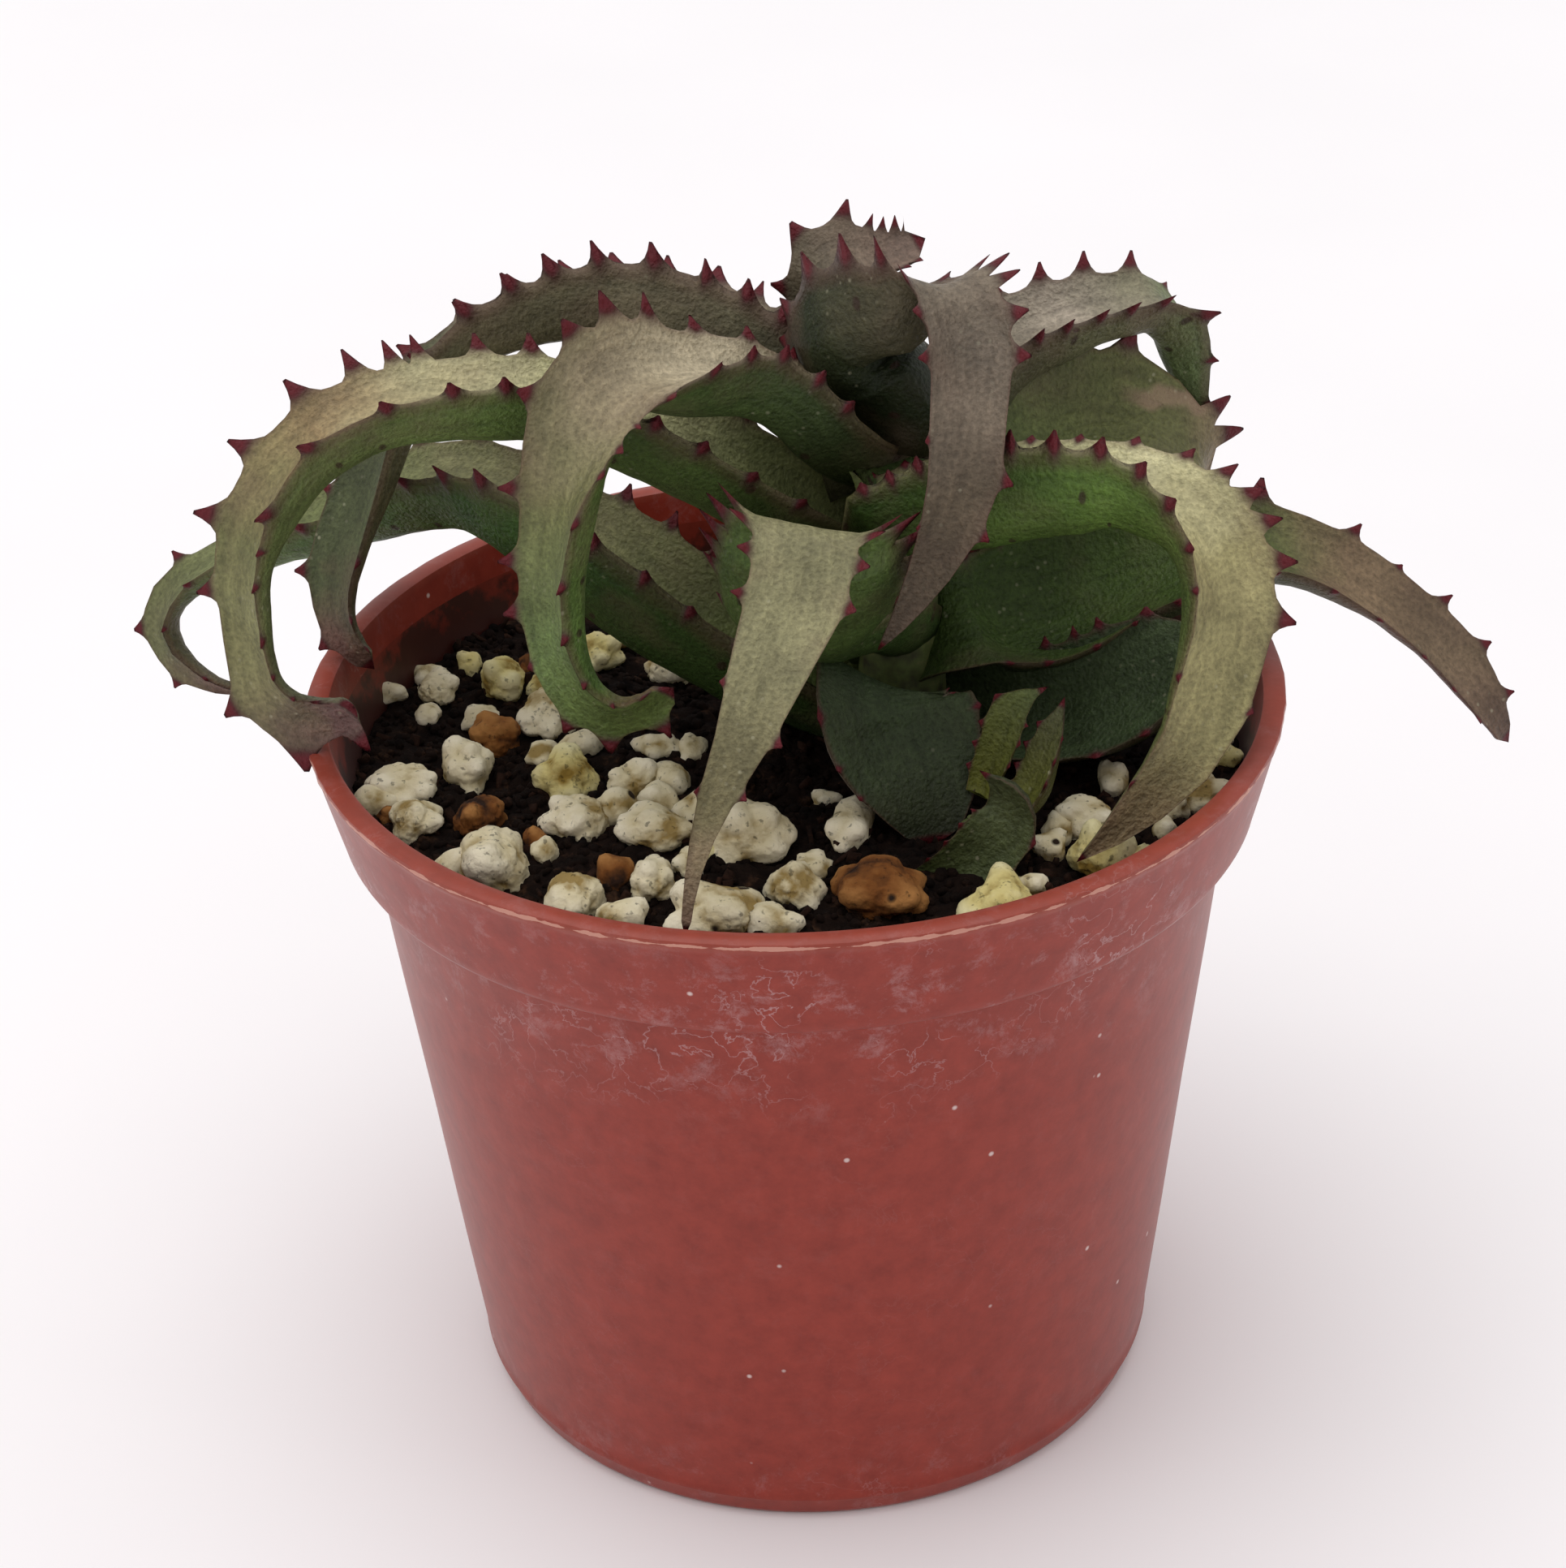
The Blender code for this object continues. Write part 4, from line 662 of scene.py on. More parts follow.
def leaf_skin(name):
    """Waxy skin of a living leaf: dull and grained by tiny bumps on the upper face, smoother
    and greener on the back, with teeth that ripen from leaf colour to crimson."""
    material, tree, where = new_material(name + "_waxy_skin", Roughness=0.5, IOR=1.42,
                                         Specular_IOR_Level=0.3)
    reach, edge, back, tooth, along, across = (
        add(tree, "Attribute", attribute_name=key).outputs["Fac"]
        for key in ("reach", "edge", "back", "tooth", "along", "across"))
    # The colours along the leaf wander a little, so that no band runs straight across.
    wander = add(tree, "TexNoise", {"Vector": where, "Scale": 110.0, "Detail": 3.0})
    moved = add(tree, "Math", {0: wander, 1: 0.24, 2: reach}, operation="MULTIPLY_ADD")
    place = add(tree, "Math", {0: moved, 1: 0.12}, operation="SUBTRACT")
    upper, lower = (add(tree, "ValToRGB", {"Fac": place}, stops=stops) for stops in SKINS[name])
    flip = add(tree, "MapRange", {"Value": back, "From Min": 0.5, "From Max": 0.8})
    skin = layered(tree, upper, [(lower, flip)])
    # Pale and dark streaks about 1 mm wide and 8 mm long run with the leaf.
    lengthwise = add(tree, "Math", {0: along, 1: 0.13}, operation="MULTIPLY")
    blade = add(tree, "CombineXYZ", {"X": lengthwise, "Y": across, "Z": flip})
    streak = add(tree, "TexNoise", {"Vector": blade, "Scale": 1.1, "Detail": 4.0, "Roughness": 0.55})
    # Blotches of 6 mm
    blotch = add(tree, "TexNoise", {"Vector": where, "Scale": 170.0, "Detail": 4.0})
    # The skin's grain is 0.2 mm on the real leaf, drawn at 0.4 mm so that it shows.
    grain = add(tree, "TexNoise", {"Vector": where, "Scale": 2400.0, "Detail": 3.0})
    shade = 1.0
    for pattern, low, high in ((streak, 0.8, 1.2), (blotch, 0.76, 1.2), (grain, 0.72, 1.2)):
        tone = add(tree, "MapRange", {"Value": pattern, "From Min": 0.3, "From Max": 0.7,
                                      "To Min": low, "To Max": high})
        shade = add(tree, "Math", {0: shade, 1: tone}, operation="MULTIPLY")
    toned = add(tree, "Mix", {"Factor": 1.0, 6: skin, 7: shade}, data_type="RGBA",
                blend_type="MULTIPLY")
    # A reddish flush in patches of 7 mm, stronger towards the margins
    flush = add(tree, "TexNoise", {"Vector": where, "Scale": 140.0, "Detail": 5.0})
    ruddy = add(tree, "MapRange", {"Value": flush, "From Min": 0.48, "From Max": 0.75, "To Max": 0.42})
    rim = add(tree, "MapRange", {"Value": edge, "From Min": 0.3, "From Max": 0.95, "To Min": 0.25})
    layers = [("#7A6053", ruddy, rim, 0.15 if name in GREENEST else 1.0)]
    # Dark prickle scars on the back, 0.7 mm across and some 6 mm apart
    flat = add(tree, "CombineXYZ", {"X": along, "Y": across})
    cells = add(tree, "TexVoronoi", {"Vector": flat, "Scale": 0.17, "Randomness": 0.8},
                voronoi_dimensions="2D")
    spot = add(tree, "MapRange", {"Value": cells, "From Min": 0.085, "From Max": 0.05, "To Max": 0.8})
    drawn = add(tree, "SeparateColor", {"Color": cells.outputs["Color"]})
    some = add(tree, "Math", {0: drawn, 1: 0.35}, operation="GREATER_THAN")
    layers.append(("#35231D", spot, some, flip))
    if name == "leaf_broad_right":
        # Corky pinkish brown scar along the fold near the tip, 9 mm by 2 mm
        torn = add(tree, "Math", {0: wander, 1: 5.0, 2: across}, operation="MULTIPLY_ADD")
        aside = add(tree, "Math", {0: torn, 1: 2.5 + SCAR_ACROSS}, operation="SUBTRACT")
        apart = add(tree, "Math", {0: aside}, operation="ABSOLUTE")
        strip = add(tree, "MapRange", {"Value": apart, "From Min": 0.9, "From Max": 0.4, "To Max": 0.6})
        far = add(tree, "MapRange", {"Value": reach, "From Min": 0.5, "From Max": 0.57})
        layers.append(("#A08570", strip, far))
    # The margin itself is a reddish brown line 0.4 mm wide.
    brim = add(tree, "MapRange", {"Value": edge, "From Min": 0.93, "To Max": 0.45})
    layers.append(("#5C3A33", brim))
    # Raised points of wax, 0.25 mm, whiten the skin here and there.
    wax = add(tree, "TexVoronoi", {"Vector": where, "Scale": 900.0})
    point = add(tree, "MapRange", {"Value": wax, "From Min": 0.2, "From Max": 0.08, "To Max": 0.34})
    patch = add(tree, "MapRange", {"Value": flush, "From Min": 0.5, "From Max": 0.3})
    layers.append(("#C9C5A8", point, patch))
    # Teeth: brown at the root, then crimson, dark at the point
    ripe = add(tree, "ValToRGB", {"Fac": tooth}, stops=[
        (0.1, "#5A4A40"), (0.28, "#4A2B29"), (0.48, "#5F1D24"), (0.78, "#5E1820"), (1.0, "#2C0D0B")])
    grown = add(tree, "MapRange", {"Value": tooth, "From Min": 0.06, "From Max": 0.36})
    layers.append((ripe, grown))
    relief = add(tree, "Math", {0: streak, 1: 0.8, 2: grain}, operation="MULTIPLY_ADD")
    return coat(material, layered(tree, toned, layers), relief, 1.0, 0.3)


# Stem

def build_stem(node, material):
    """The stem's solid, rounded and ringed by old leaf bases 2.6 mm apart."""
    mesh = frame["nodes"][node].data.copy()
    shape = bmesh.new()
    shape.from_mesh(mesh)
    bmesh.ops.remove_doubles(shape, verts=shape.verts, dist=0.01 * MM)
    bmesh.ops.subdivide_edges(shape, edges=shape.edges, cuts=3, use_grid_fill=True)
    for vert in shape.verts:
        ring = math.sin(vert.co.z / MM * 2.4 + math.atan2(vert.co.y, vert.co.x) * 2)
        out = Vector((vert.normal.x, vert.normal.y, 0.0))
        vert.co += out * (0.18 * ring + 0.1 * noise.noise(vert.co / MM / 2.0)) * MM
    shape.to_mesh(mesh)
    shape.free()
    return add_piece("ringed_" + node, mesh, material, [node])


def stem_skin():
    """Fleshy green stem that turns corky, in patches of 2 mm."""
    material, tree, where = new_material("corky_green_stem_skin", Roughness=0.65)
    cork = add(tree, "TexNoise", {"Vector": where, "Scale": 500.0, "Detail": 5.0})
    tone = add(tree, "ValToRGB", {"Fac": cork},
               stops=[(0.35, "#3C3A22"), (0.55, "#5F6A38"), (0.75, "#8A8458")])
    return coat(material, tone, cork, 0.7, 0.3)


# Pot

SECTORS = 192
DRAIN_COUNT, DRAIN_RADIUS, DRAIN_CIRCLE = 6, 2.6, 18.0
# The thin wall is never quite round, and moulding flash swells the rim's outer edge.
OUT_OF_ROUND = 0.12
FLASH_SWELL = 0.10
# Outside from the rim's inner edge down to the middle of the foot, then the inside up
# again, as (radius, height)
POT_OUTSIDE = (
    (40.55, 67.85), (40.8, 68.0), (41.5, 68.05), (42.15, 68.0), (42.42, 67.85), (42.5, 67.6),
    (42.46, 67.3), (42.3, 67.0), (42.2, 66.7), (41.6, 64.2), (40.9, 61.3), (40.35, 59.1),
    (40.22, 58.5), (40.0, 58.1), (39.6, 57.85), (39.0, 57.7), (38.3, 57.55), (37.95, 57.3),
    (37.8, 56.9), (36.3, 44.0), (34.6, 30.0), (32.9, 15.0), (31.6, 4.2), (31.45, 2.9),
    (31.5, 2.6), (31.45, 2.35), (31.2, 2.2), (31.05, 1.9), (30.75, 0.7), (30.55, 0.3),
    (30.2, 0.05), (29.8, 0.0), (27.5, 0.0), (27.1, 0.2), (26.7, 1.2), (10.0, 1.2), (9.3, 0.2),
    (9.0, 0.0), (0.0, 0.0))
POT_INSIDE = (
    (0.0, 3.4), (28.4, 3.4), (29.3, 3.6), (29.9, 4.2), (30.2, 5.0), (33.0, 29.0), (36.7, 56.9),
    (37.2, 57.6), (38.3, 58.1), (38.7, 58.6), (39.6, 63.0), (40.35, 67.2))


def build_pot(material):
    """A thin moulded pot turned from its profile, with its rim's moulding flash and drains."""
    profile = POT_OUTSIDE + POT_INSIDE + POT_OUTSIDE[:1]
    mesh = bpy.data.meshes.new("turned_pot")
    mesh.from_pydata([(radius * MM, 0.0, height * MM) for radius, height in profile],
                     [(i, i + 1) for i in range(len(profile) - 1)], [])
    blank = bpy.data.objects.new("turned_pot", mesh)
    bpy.context.scene.collection.objects.link(blank)
    turn = blank.modifiers.new("turn", "SCREW")
    turn.axis = "Z"
    turn.angle = math.tau
    turn.steps = turn.render_steps = SECTORS
    turn.use_merge_vertices = True
    turn.merge_threshold = 0.02 * MM
    drains = bpy.data.collections.new("drains")
    for x, y in around(DRAIN_CIRCLE, DRAIN_COUNT):
        hole = bpy.data.meshes.new("drain")
        shape = bmesh.new()
        bmesh.ops.create_cone(shape, cap_ends=True, segments=32, radius1=DRAIN_RADIUS * MM,
                              radius2=DRAIN_RADIUS * MM, depth=12 * MM,
                              matrix=Matrix.Translation((x * MM, y * MM, 0)))
        shape.to_mesh(hole)
        shape.free()
        drains.objects.link(bpy.data.objects.new("drain", hole))
    cut = blank.modifiers.new("cut", "BOOLEAN")
    cut.operation, cut.operand_type, cut.solver = "DIFFERENCE", "COLLECTION", "EXACT"
    cut.collection = drains
    done = plain_mesh(blank)
    for item in list(drains.objects):
        bpy.data.objects.remove(item)
    bpy.data.collections.remove(drains)
    shape = bmesh.new()
    shape.from_mesh(done)
    bmesh.ops.recalc_face_normals(shape, faces=shape.faces)
    for vert in shape.verts:
        height, radius = vert.co.z / MM, vert.co.xy.length / MM
        angle = math.atan2(vert.co.y, vert.co.x)
        ring = Vector((math.cos(angle) * 5, math.sin(angle) * 5, height * 0.05))
        if height > 66.5 and radius > 42.2:
            vert.co.xy *= 1 + FLASH_SWELL * noise.fractal(ring * 2.5, 0.6, 2.2, 4) / radius
        if radius > 30:
            vert.co.xy *= 1 + OUT_OF_ROUND * noise.noise(ring * 0.16) / radius
    shape.to_mesh(done)
    shape.free()
    pot = add_piece("moulded_pot", done, material, ["pot"])
    pot.data.set_sharp_from_angle(angle=math.radians(32))
    return pot


def pot_plastic():
    """Injection-moulded polypropylene, brick red: an even satin skin with white scuffs on the collar,
    lime specks, a painted highlight with some rubbing on the rim's top and outer edge, and a soil stain
    with painted shade on the inner wall."""
    material, tree, where = new_material(
        "injection_moulded_polypropylene", Roughness=0.4, IOR=1.49, Specular_IOR_Level=0.35,
        Sheen_Weight=0.08, Sheen_Roughness=0.4)
    height = add(tree, "SeparateXYZ", {"Vector": where}).outputs["Z"]
    level = add(tree, "VectorMath", {0: where, 1: (1.0, 1.0, 0.0)}, operation="MULTIPLY")
    radius = add(tree, "VectorMath", {0: level}, operation="LENGTH")
    within = add(tree, "Math", {0: radius, 1: 39.9 * MM}, operation="LESS_THAN")
    above = add(tree, "Math", {0: height, 1: 58.3 * MM}, operation="GREATER_THAN")
    inside = add(tree, "Math", {0: within, 1: above}, operation="MULTIPLY")
    outside = add(tree, "Math", {0: 1.0, 1: inside}, operation="SUBTRACT")
    cloud = add(tree, "TexNoise", {"Vector": where, "Scale": 420.0, "Detail": 6.0, "Roughness": 0.7})
    plastic = add(tree, "ValToRGB", {"Fac": cloud}, stops=[(0.3, "#7D2517"), (0.7, "#943324")])
    # Dust in flakes of 0.5 to 3 mm
    tear = add(tree, "TexNoise", {"Vector": where, "Scale": 240.0, "Detail": 12.0,
                                  "Roughness": 0.82, "Distortion": 0.25})
    flakes = add(tree, "MapRange", {"Value": tear, "From Min": 0.52, "From Max": 0.7, "To Max": 0.42})
    # Scratches 0.1 mm wide that curl across the dust, broken off here and there
    curl = add(tree, "TexNoise", {"Vector": where, "Scale": 330.0, "Detail": 5.0, "Distortion": 0.3})
    middle = add(tree, "Math", {0: curl, 1: 0.5}, operation="SUBTRACT")
    off_line = add(tree, "Math", {0: middle}, operation="ABSOLUTE")
    line = add(tree, "MapRange", {"Value": off_line, "From Min": 0.012, "From Max": 0.0, "To Max": 0.5})
    gaps = add(tree, "TexNoise", {"Vector": where, "Scale": 75.0, "Detail": 2.0})
    broken = add(tree, "MapRange", {"Value": gaps, "From Min": 0.53, "From Max": 0.62})
    scratch = add(tree, "Math", {0: line, 1: broken}, operation="MULTIPLY")
    marks = add(tree, "Math", {0: flakes, 1: scratch}, operation="MAXIMUM")
    # Both lie thickest on the collar and just below it, and again round the foot.
    low = add(tree, "MapRange", {"Value": height, "From Min": 46 * MM, "From Max": 56 * MM})
    belt = add(tree, "MapRange", {"Value": height, "From Min": 66.5 * MM, "From Max": 62.5 * MM,
                                  "To Min": 0.35})
    foot = add(tree, "MapRange", {"Value": height, "From Min": 9 * MM, "From Max": 3 * MM,
                                  "To Max": 0.5})
    collar = add(tree, "Math", {0: low, 1: belt}, operation="MULTIPLY")
    worn = add(tree, "Math", {0: collar, 1: foot}, operation="MAXIMUM")
    handled = add(tree, "Math", {0: worn, 1: 0.1}, operation="ADD")
    # Lime specks of about 0.3 mm
    cells = add(tree, "TexVoronoi", {"Vector": where, "Scale": 330.0})
    dot = add(tree, "MapRange", {"Value": cells, "From Min": 0.10, "From Max": 0.05})
    pick = add(tree, "SeparateColor", {"Color": cells.outputs["Color"]})
    few = add(tree, "Math", {0: pick, 1: 0.86}, operation="GREATER_THAN")
    # The rim's top and its outer edge are painted paler: a painted highlight where they face the light,
    # with some rubbing wear.
    top = add(tree, "MapRange", {"Value": height, "From Min": 67.1 * MM, "From Max": 67.9 * MM,
                                 "To Max": 0.25})
    edge = add(tree, "MapRange", {"Value": radius, "From Min": 42.1 * MM, "From Max": 42.5 * MM,
                                  "To Max": 0.35})
    rub_and_highlight = add(tree, "Math", {0: top, 1: edge}, operation="MAXIMUM")
    # Moulding flash along the rim's outer edge, drawn as a torn pale line 0.4 mm wide that is also a
    # painted highlight on the edge.
    from_edge = add(tree, "Math", {0: height, 1: 67.55 * MM}, operation="SUBTRACT")
    off_edge = add(tree, "Math", {0: from_edge}, operation="ABSOLUTE")
    ragged = add(tree, "TexNoise", {"Vector": where, "Scale": 420.0, "Detail": 6.0})
    torn = add(tree, "MapRange", {"Value": ragged, "From Min": 0.4, "From Max": 0.62,
                                  "To Max": 0.22 * MM})
    flash_and_highlight = add(tree, "Math", {0: off_edge, 1: torn}, operation="LESS_THAN")
    outer = add(tree, "Math", {0: radius, 1: 42 * MM}, operation="GREATER_THAN")
    # Soil stain and painted shade darken the inner wall in patches, most where it meets the soil.
    splash = add(tree, "TexNoise", {"Vector": where, "Scale": 260.0, "Detail": 7.0, "Roughness": 0.65})
    near_soil = add(tree, "MapRange", {"Value": height, "From Min": 66.5 * MM,
                                       "From Max": 59.5 * MM, "To Min": -0.12, "To Max": 0.34})
    stain = add(tree, "Math", {0: splash, 1: near_soil}, operation="ADD")
    stain_and_shade = add(tree, "MapRange", {"Value": stain, "From Min": 0.5, "From Max": 0.62,
                                   "To Min": 0.3, "To Max": 0.88})
    colour = layered(tree, plastic, [
        ("#C2A1A3", marks, handled, outside), ("#CDB3AE", dot, few), ("#A35A48", rub_and_highlight),
        ("#D09A88", flash_and_highlight, outer, 0.7), ("#23110C", stain_and_shade, inside)])
    pebbled = add(tree, "TexNoise", {"Vector": where, "Scale": 700.0, "Detail": 2.0})
    return coat(material, colour, pebbled, 0.25, 0.08)


# Soil

SOIL_TOP = 60.0
SOIL_RADIUS = 38.75
SOIL_RINGS = 120
SOIL_SECTORS = 260
# Down the side of the root ball to its foot, as (radius, height)
SOIL_SIDE = ((38.3, 58.7), (37.0, 57.9), (36.4, 56.6), (29.7, 5.0), (28.0, 3.7))


def soil_height(x, y):
    """Height of the crumbly soil surface."""
    wave = noise.noise(Vector((x / 11.0, y / 11.0, 3.0)))
    fine = noise.noise(Vector((x / 4.5, y / 4.5, 9.0)))
    clods = noise.fractal(Vector((x / 3.2, y / 3.2, 21.0)), 0.7, 2.1, 5)
    return SOIL_TOP + 0.9 * wave + 0.35 * fine + 0.8 * clods


def build_soil(material):
    """The root ball as one closed body, its top broken into clods."""
    verts = [(0.0, 0.0, soil_height(0.0, 0.0))]
    for ring in range(1, SOIL_RINGS + 1):
        for x, y in around(SOIL_RADIUS * ring / SOIL_RINGS, SOIL_SECTORS):
            verts.append((x, y, soil_height(x, y)))
    for radius, height in SOIL_SIDE:
        verts += [(x, y, height) for x, y in around(radius, SOIL_SECTORS)]
    verts.append((0.0, 0.0, SOIL_SIDE[-1][1]))
    last = len(verts) - 1
    faces = []
    for i in range(SOIL_SECTORS):
        after = (i + 1) % SOIL_SECTORS
        faces.append((0, 1 + i, 1 + after))
        for low in range(1, last - SOIL_SECTORS, SOIL_SECTORS):
            high = low + SOIL_SECTORS
            faces.append((low + i, high + i, high + after, low + after))
        faces.append((last, last - SOIL_SECTORS + after, last - SOIL_SECTORS + i))
    mesh = bpy.data.meshes.new("crumbly_soil")
    mesh.from_pydata([Vector(v) * MM for v in verts], [], faces)
    return add_piece("crumbly_soil", mesh, material, ["soil"])


def peat(name, dark, pale):
    """Moist peat and bark: nearly black, dull, with crumbs of 1 to 3 mm."""
    material, tree, where = new_material(name, Roughness=0.95, Specular_IOR_Level=0.12)
    crumbs = add(tree, "TexNoise", {"Vector": where, "Scale": 480.0, "Detail": 8.0, "Roughness": 0.65})
    tone = add(tree, "ValToRGB", {"Fac": crumbs}, stops=[(0.35, dark), (0.58, pale), (0.74, "#4A3324")])
    return coat(material, tone, crumbs, 1.0, 0.6)


# Stones

def granule(seed, radii, level):
    """Points in mm, faces and hollows of a granule: a ball grown out of round lobes."""
    draw = np.random.default_rng(seed)
    ball = bmesh.new()
    bmesh.ops.create_icosphere(ball, subdivisions=level, radius=1.0)
    spots = np.array([vert.co[:] for vert in ball.verts])
    faces = np.array([[vert.index for vert in face.verts] for face in ball.faces])
    ball.free()
    count = draw.integers(7, 13)
    lobes = draw.normal(size=(count, 3))
    lobes /= np.linalg.norm(lobes, axis=1)[:, None]
    tall = draw.uniform(0.16, 0.5, count)
    narrow = draw.uniform(4.0, 11.0, count)
    raised = (tall * np.exp((spots @ lobes.T - 1) * narrow)).max(axis=1)
    shift = draw.uniform(-50, 50, 3)
    rough = np.array([noise.fractal(Vector(spot * 2.2 + shift), 0.8, 2.1, 4) for spot in spots])
    reach = 0.74 + raised + 0.08 * rough
    return spots * reach[:, None] * radii, faces, raised + 0.1 * rough


def stone_piece(name, parts, material, nodes=()):
    """One piece from granules given as (middle, radii, seed, level, turn), in mm."""
    points, faces, hollows, first = [], [], [], 0
    for middle, radii, seed, level, turn in parts:
        spots, rings, hollow = granule(seed, np.array(radii), level)
        c, s = math.cos(turn), math.sin(turn)
        points.append(spots @ np.array([[c, s, 0.0], [-s, c, 0.0], [0.0, 0.0, 1.0]]) + np.array(middle))
        faces.append(rings + first)
        hollows.append(hollow)
        first += len(spots)
    mesh = bpy.data.meshes.new(name)
    mesh.from_pydata((np.concatenate(points) * MM).tolist(), [], np.concatenate(faces).tolist())
    # How high each point stands on its lobes, which the finish turns into painted shade in the creases
    # and a painted highlight on the crowns
    layer = mesh.attributes.new("lobe", "FLOAT", "POINT")
    layer.data.foreach_set("value", np.concatenate(hollows).astype(np.float32))
    return add_piece(name, mesh, material, nodes)


def pumice(name, pale, dark_and_crease_shade, bright_and_highlight):
    """Expanded rock, chalky and pitted, with painted shade in the creases between its lobes and a
    painted highlight on their crowns.
    """
    material, tree, where = new_material(name, Roughness=0.92, Specular_IOR_Level=0.25)
    lobe = add(tree, "Attribute", attribute_name="lobe").outputs["Fac"]
    # Painted shade in the creases between the lobes and a painted highlight on their crowns, mixed with
    # stains of 3 mm
    stain = add(tree, "TexNoise", {"Vector": where, "Scale": 300.0, "Detail": 5.0})
    mixed = add(tree, "Math", {0: lobe, 1: 1.3, 2: stain}, operation="MULTIPLY_ADD")
    tone = add(tree, "ValToRGB", {"Fac": mixed}, stops=[(0.42, dark_and_crease_shade), (0.62, pale), (1.0, bright_and_highlight)])
    # Open pores of about 0.3 mm
    pores = add(tree, "TexNoise", {"Vector": where, "Scale": 1700.0, "Detail": 2.0})
    hole = add(tree, "MapRange", {"Value": pores, "From Min": 0.3, "From Max": 0.38, "To Min": 0.45})
    pitted = add(tree, "Mix", {"Factor": 1.0, 6: tone, 7: hole}, data_type="RGBA",
                 blend_type="MULTIPLY")
    # Now and then a black grain about 1 mm wide sits in a crease.
    cells = add(tree, "TexVoronoi", {"Vector": where, "Scale": 420.0})
    dot = add(tree, "MapRange", {"Value": cells, "From Min": 0.26, "From Max": 0.18})
    pick = add(tree, "SeparateColor", {"Color": cells.outputs["Color"]})
    few = add(tree, "Math", {0: pick, 1: 0.93}, operation="GREATER_THAN")
    grain = add(tree, "TexNoise", {"Vector": where, "Scale": 1500.0, "Detail": 5.0})
    return coat(material, layered(tree, pitted, [("#2A1D14", dot, few)]), grain, 0.8, 0.3)


# Loose stones that lie between the large ones: (x, y, size), mm
LOOSE_WHITE = (
    (-33.5, 17.5, 3.2), (-36.6, 13, 2.5), (-33.1, 9.6, 2.6), (-28.4, 9.6, 3.3),
    (-36.9, -6.6, 3.6), (-29.6, -17, 3.6), (-21.6, -15, 2.9), (-15.6, -8.8, 4.3),
    (-19.4, 3.2, 3.8), (-22.4, 1.2, 3.2), (-12.4, 2.2, 3.3), (-9.2, 1.8, 3),
    (-11, -3.8, 4), (-12.2, -7.3, 4.1), (-8.6, -9.2, 4.4), (-14.9, -26.8, 4.3),
    (-15.5, 22.9, 3.2), (1, -19, 3.4), (4.4, -14.4, 5), (2.4, -7.2, 2.2),
    (18.8, -23.2, 2.6), (20.9, -17.3, 3.6), (27.2, -7.2, 3.6), (22, -14.4, 3.2),
    (31.6, -11.6, 3.6), (30.8, -15, 2.9), (-9.4, -18, 3.2), (-2.6, -27.8, 4.6),
    (12.2, 30.4, 3.4), (20.6, 28.6, 3), (33, 12.4, 3.6), (30.2, 6.4, 2.8),
    (-2.4, 33.6, 3), (8.8, 22.4, 2.6), (22.4, 15.6, 3.2), (-9.6, 30.6, 3.4),
    (-22, 27.4, 3.2), (25.4, 24.8, 2.6), (34.6, 6.8, 2.8))
LOOSE_CREAM = ((-29.8, 19.2, 2.8), (-22.6, 14.2, 3.4), (-7.8, -15.8, 3.4), (28.4, -21, 3.6),
               (16.6, 20.4, 2.8), (-14.6, 30, 3), (37.2, -4.6, 3))
LOOSE_CLAY = ((-15.6, -19.6, 3.6), (-35.4, -7.6, 2.2), (-22.6, -12.8, 2.8), (-24.2, 18.4, 3),
              (30.4, 16, 3.2), (12.6, 26.6, 2.6), (-6.4, 21.4, 2.8), (22.8, -25, 2.4))
# Scale of a lobed stone against its plain solid, and how far it is lifted out of the soil
LOBED_SCALE = 1.04
STONE_LIFT = 0.25
# Subdivisions of a large stone's ball and of a loose one's
LARGE_LEVEL, LOOSE_LEVEL = 5, 3


def build_stones(finishes):
    """The model's stones made lobed and rough, and the loose ones between them."""
    for seed, node in enumerate(sorted(frame["nodes"])):
        kind = node[:-3]
        if kind in finishes:
            low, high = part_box(node)
            middle = (low + high) / 2 / MM + Vector((0.0, 0.0, STONE_LIFT))
            radii = (high - low) / 2 / MM * LOBED_SCALE
            stone_piece("lobed_" + node, [(middle, radii, seed, LARGE_LEVEL, 0.0)],
                        finishes[kind], [node])
    draw = random.Random(11)
    for kind, spots in (("pumice_white", LOOSE_WHITE), ("pumice_cream", LOOSE_CREAM),
                        ("clay_stone", LOOSE_CLAY)):
        parts = []
        for x, y, size in spots:
            long = draw.uniform(1.0, 1.35)
            radii = (size / 2 * long, size / 2 / long ** 0.5, size / 2 * 0.86)
            middle = (x, y, soil_height(x, y) + size * 0.2)
            parts.append((middle, radii, draw.randrange(9999), LOOSE_LEVEL,
                          draw.uniform(0, math.tau)))
        stone_piece("loose_" + kind, parts, finishes[kind])


# Crumbs and chips on the soil

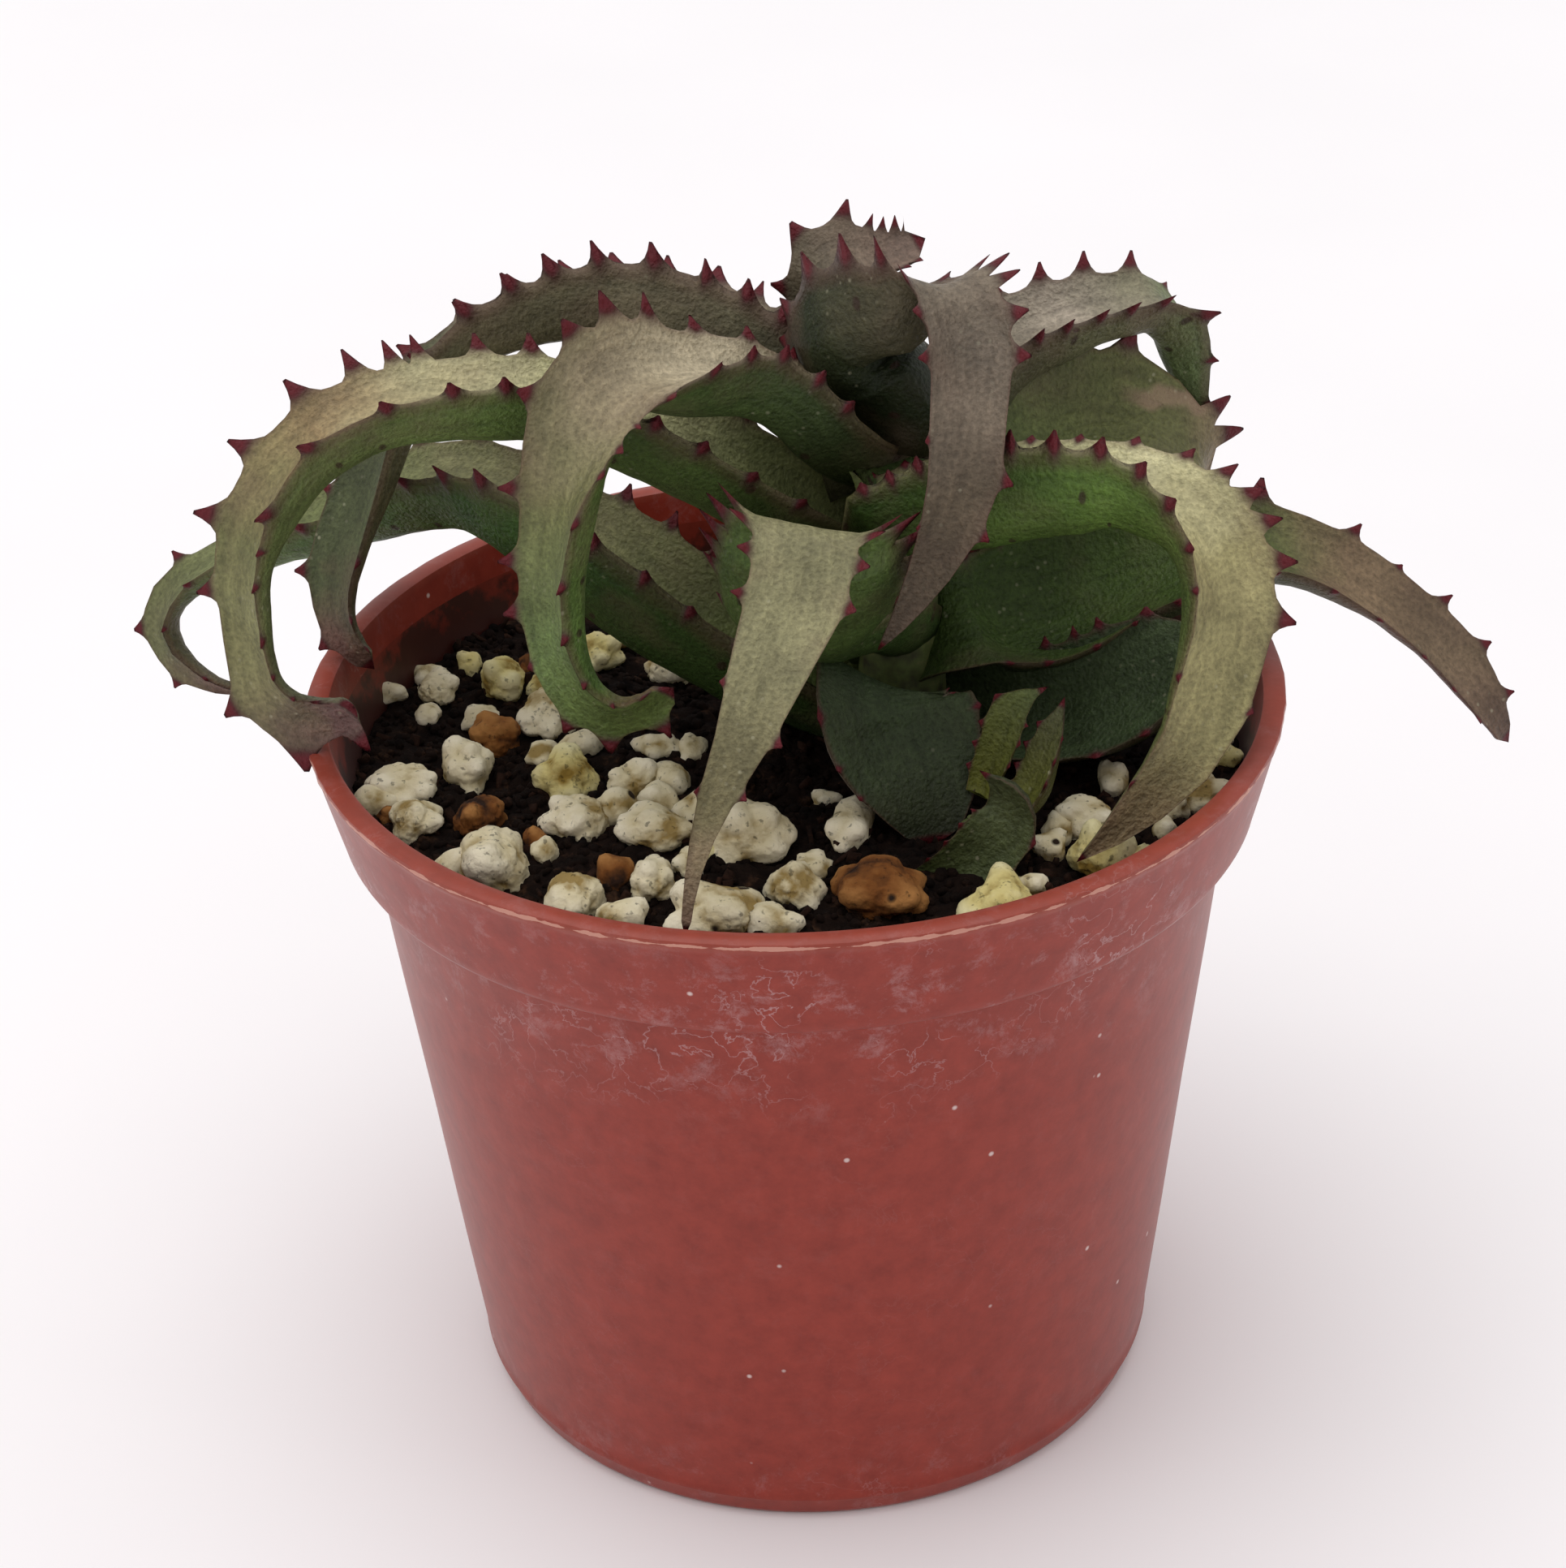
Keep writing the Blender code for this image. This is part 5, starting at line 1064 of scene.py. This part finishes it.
def scattered(name, surface, material, per_square_mm, size, chip, seed, lowest):
    """Crumbs strewn on the top of the soil by geometry nodes, as one plain mesh."""
    tree = bpy.data.node_groups.new(name, "GeometryNodeTree")
    for socket, way, kind in (("Geometry", "INPUT", "Geometry"), ("Per Square Metre", "INPUT", "Float"),
                              ("Crumb Size", "INPUT", "Float"), ("Geometry", "OUTPUT", "Geometry")):
        tree.interface.new_socket(socket, in_out=way, socket_type="NodeSocket" + kind)
    given = add(tree, "NodeGroupInput").outputs
    height = add(tree, "SeparateXYZ", {0: add(tree, "GeometryNodeInputPosition")}).outputs["Z"]
    top = add(tree, "Math", {0: height, 1: 58.8 * MM}, operation="GREATER_THAN")
    points = add(tree, "GeometryNodeDistributePointsOnFaces", {
        "Mesh": given["Geometry"], "Selection": top, "Density": given["Per Square Metre"],
        "Seed": seed})
    # One crumb of size 1, which Crumb Size scales to metres
    if chip:
        crumb = add(tree, "GeometryNodeMeshCube", {"Size": (2.4, 1.0, 0.5)})
    else:
        crumb = add(tree, "GeometryNodeMeshIcoSphere", {"Radius": 0.5, "Subdivisions": 1})
    turn, scale = (add(tree, "FunctionNodeRandomValue", {0: (least,) * 3, 1: (most,) * 3,
                                                         "Seed": seed + 1 + i},
                       data_type="FLOAT_VECTOR")
                   for i, (least, most) in enumerate(((0.0, math.tau), (lowest, 1.0))))
    sized = add(tree, "VectorMath", {0: scale, "Scale": given["Crumb Size"]}, operation="SCALE")
    placed = add(tree, "GeometryNodeInstanceOnPoints", {
        "Points": points, "Instance": crumb, "Rotation": turn, "Scale": sized})
    whole = add(tree, "GeometryNodeRealizeInstances", {0: placed})
    finish = add(tree, "GeometryNodeSetMaterial", {"Geometry": whole, "Material": material})
    add(tree, "NodeGroupOutput", {"Geometry": finish})
    ground = bpy.data.objects.new(name + "_ground", surface)
    bpy.context.scene.collection.objects.link(ground)
    strew = ground.modifiers.new("strew", "NODES")
    strew.node_group = tree
    sockets = {item.name: item.identifier for item in tree.interface.items_tree
               if item.in_out == "INPUT"}
    strew[sockets["Per Square Metre"]] = per_square_mm / MM ** 2
    strew[sockets["Crumb Size"]] = size * MM
    return add_piece(name, plain_mesh(ground), material)


def main():
    place_camera()
    build_stage()
    build_pot(pot_plastic())
    soil = peat("moist_peat", "#0B0605", "#1E130E")
    ground = build_soil(soil).data
    scattered("peat_crumbs", ground, soil, per_square_mm=0.75, size=1.5, chip=False, seed=3,
              lowest=0.35)
    scattered("bark_chips", ground, peat("composted_bark", "#1B100B", "#35221A"),
              per_square_mm=0.07, size=1.1, chip=True, seed=7, lowest=0.4)
    bark = stem_skin()
    for node in ("stem", "offset_stem"):
        build_stem(node, bark)
    for name, spec in LEAVES.items():
        build_leaf(name, *spec)
    build_stones({
        "pumice_white": pumice("washed_white_pumice", "#D9CCA7", "#9C8450", "#EBE1C6"),
        "pumice_cream": pumice("yellowed_pumice", "#D2C382", "#8F7433", "#E2D8A8"),
        "clay_stone": pumice("fired_clay_granule", "#7B4A20", "#2A170C", "#A67440"),
    })


main()
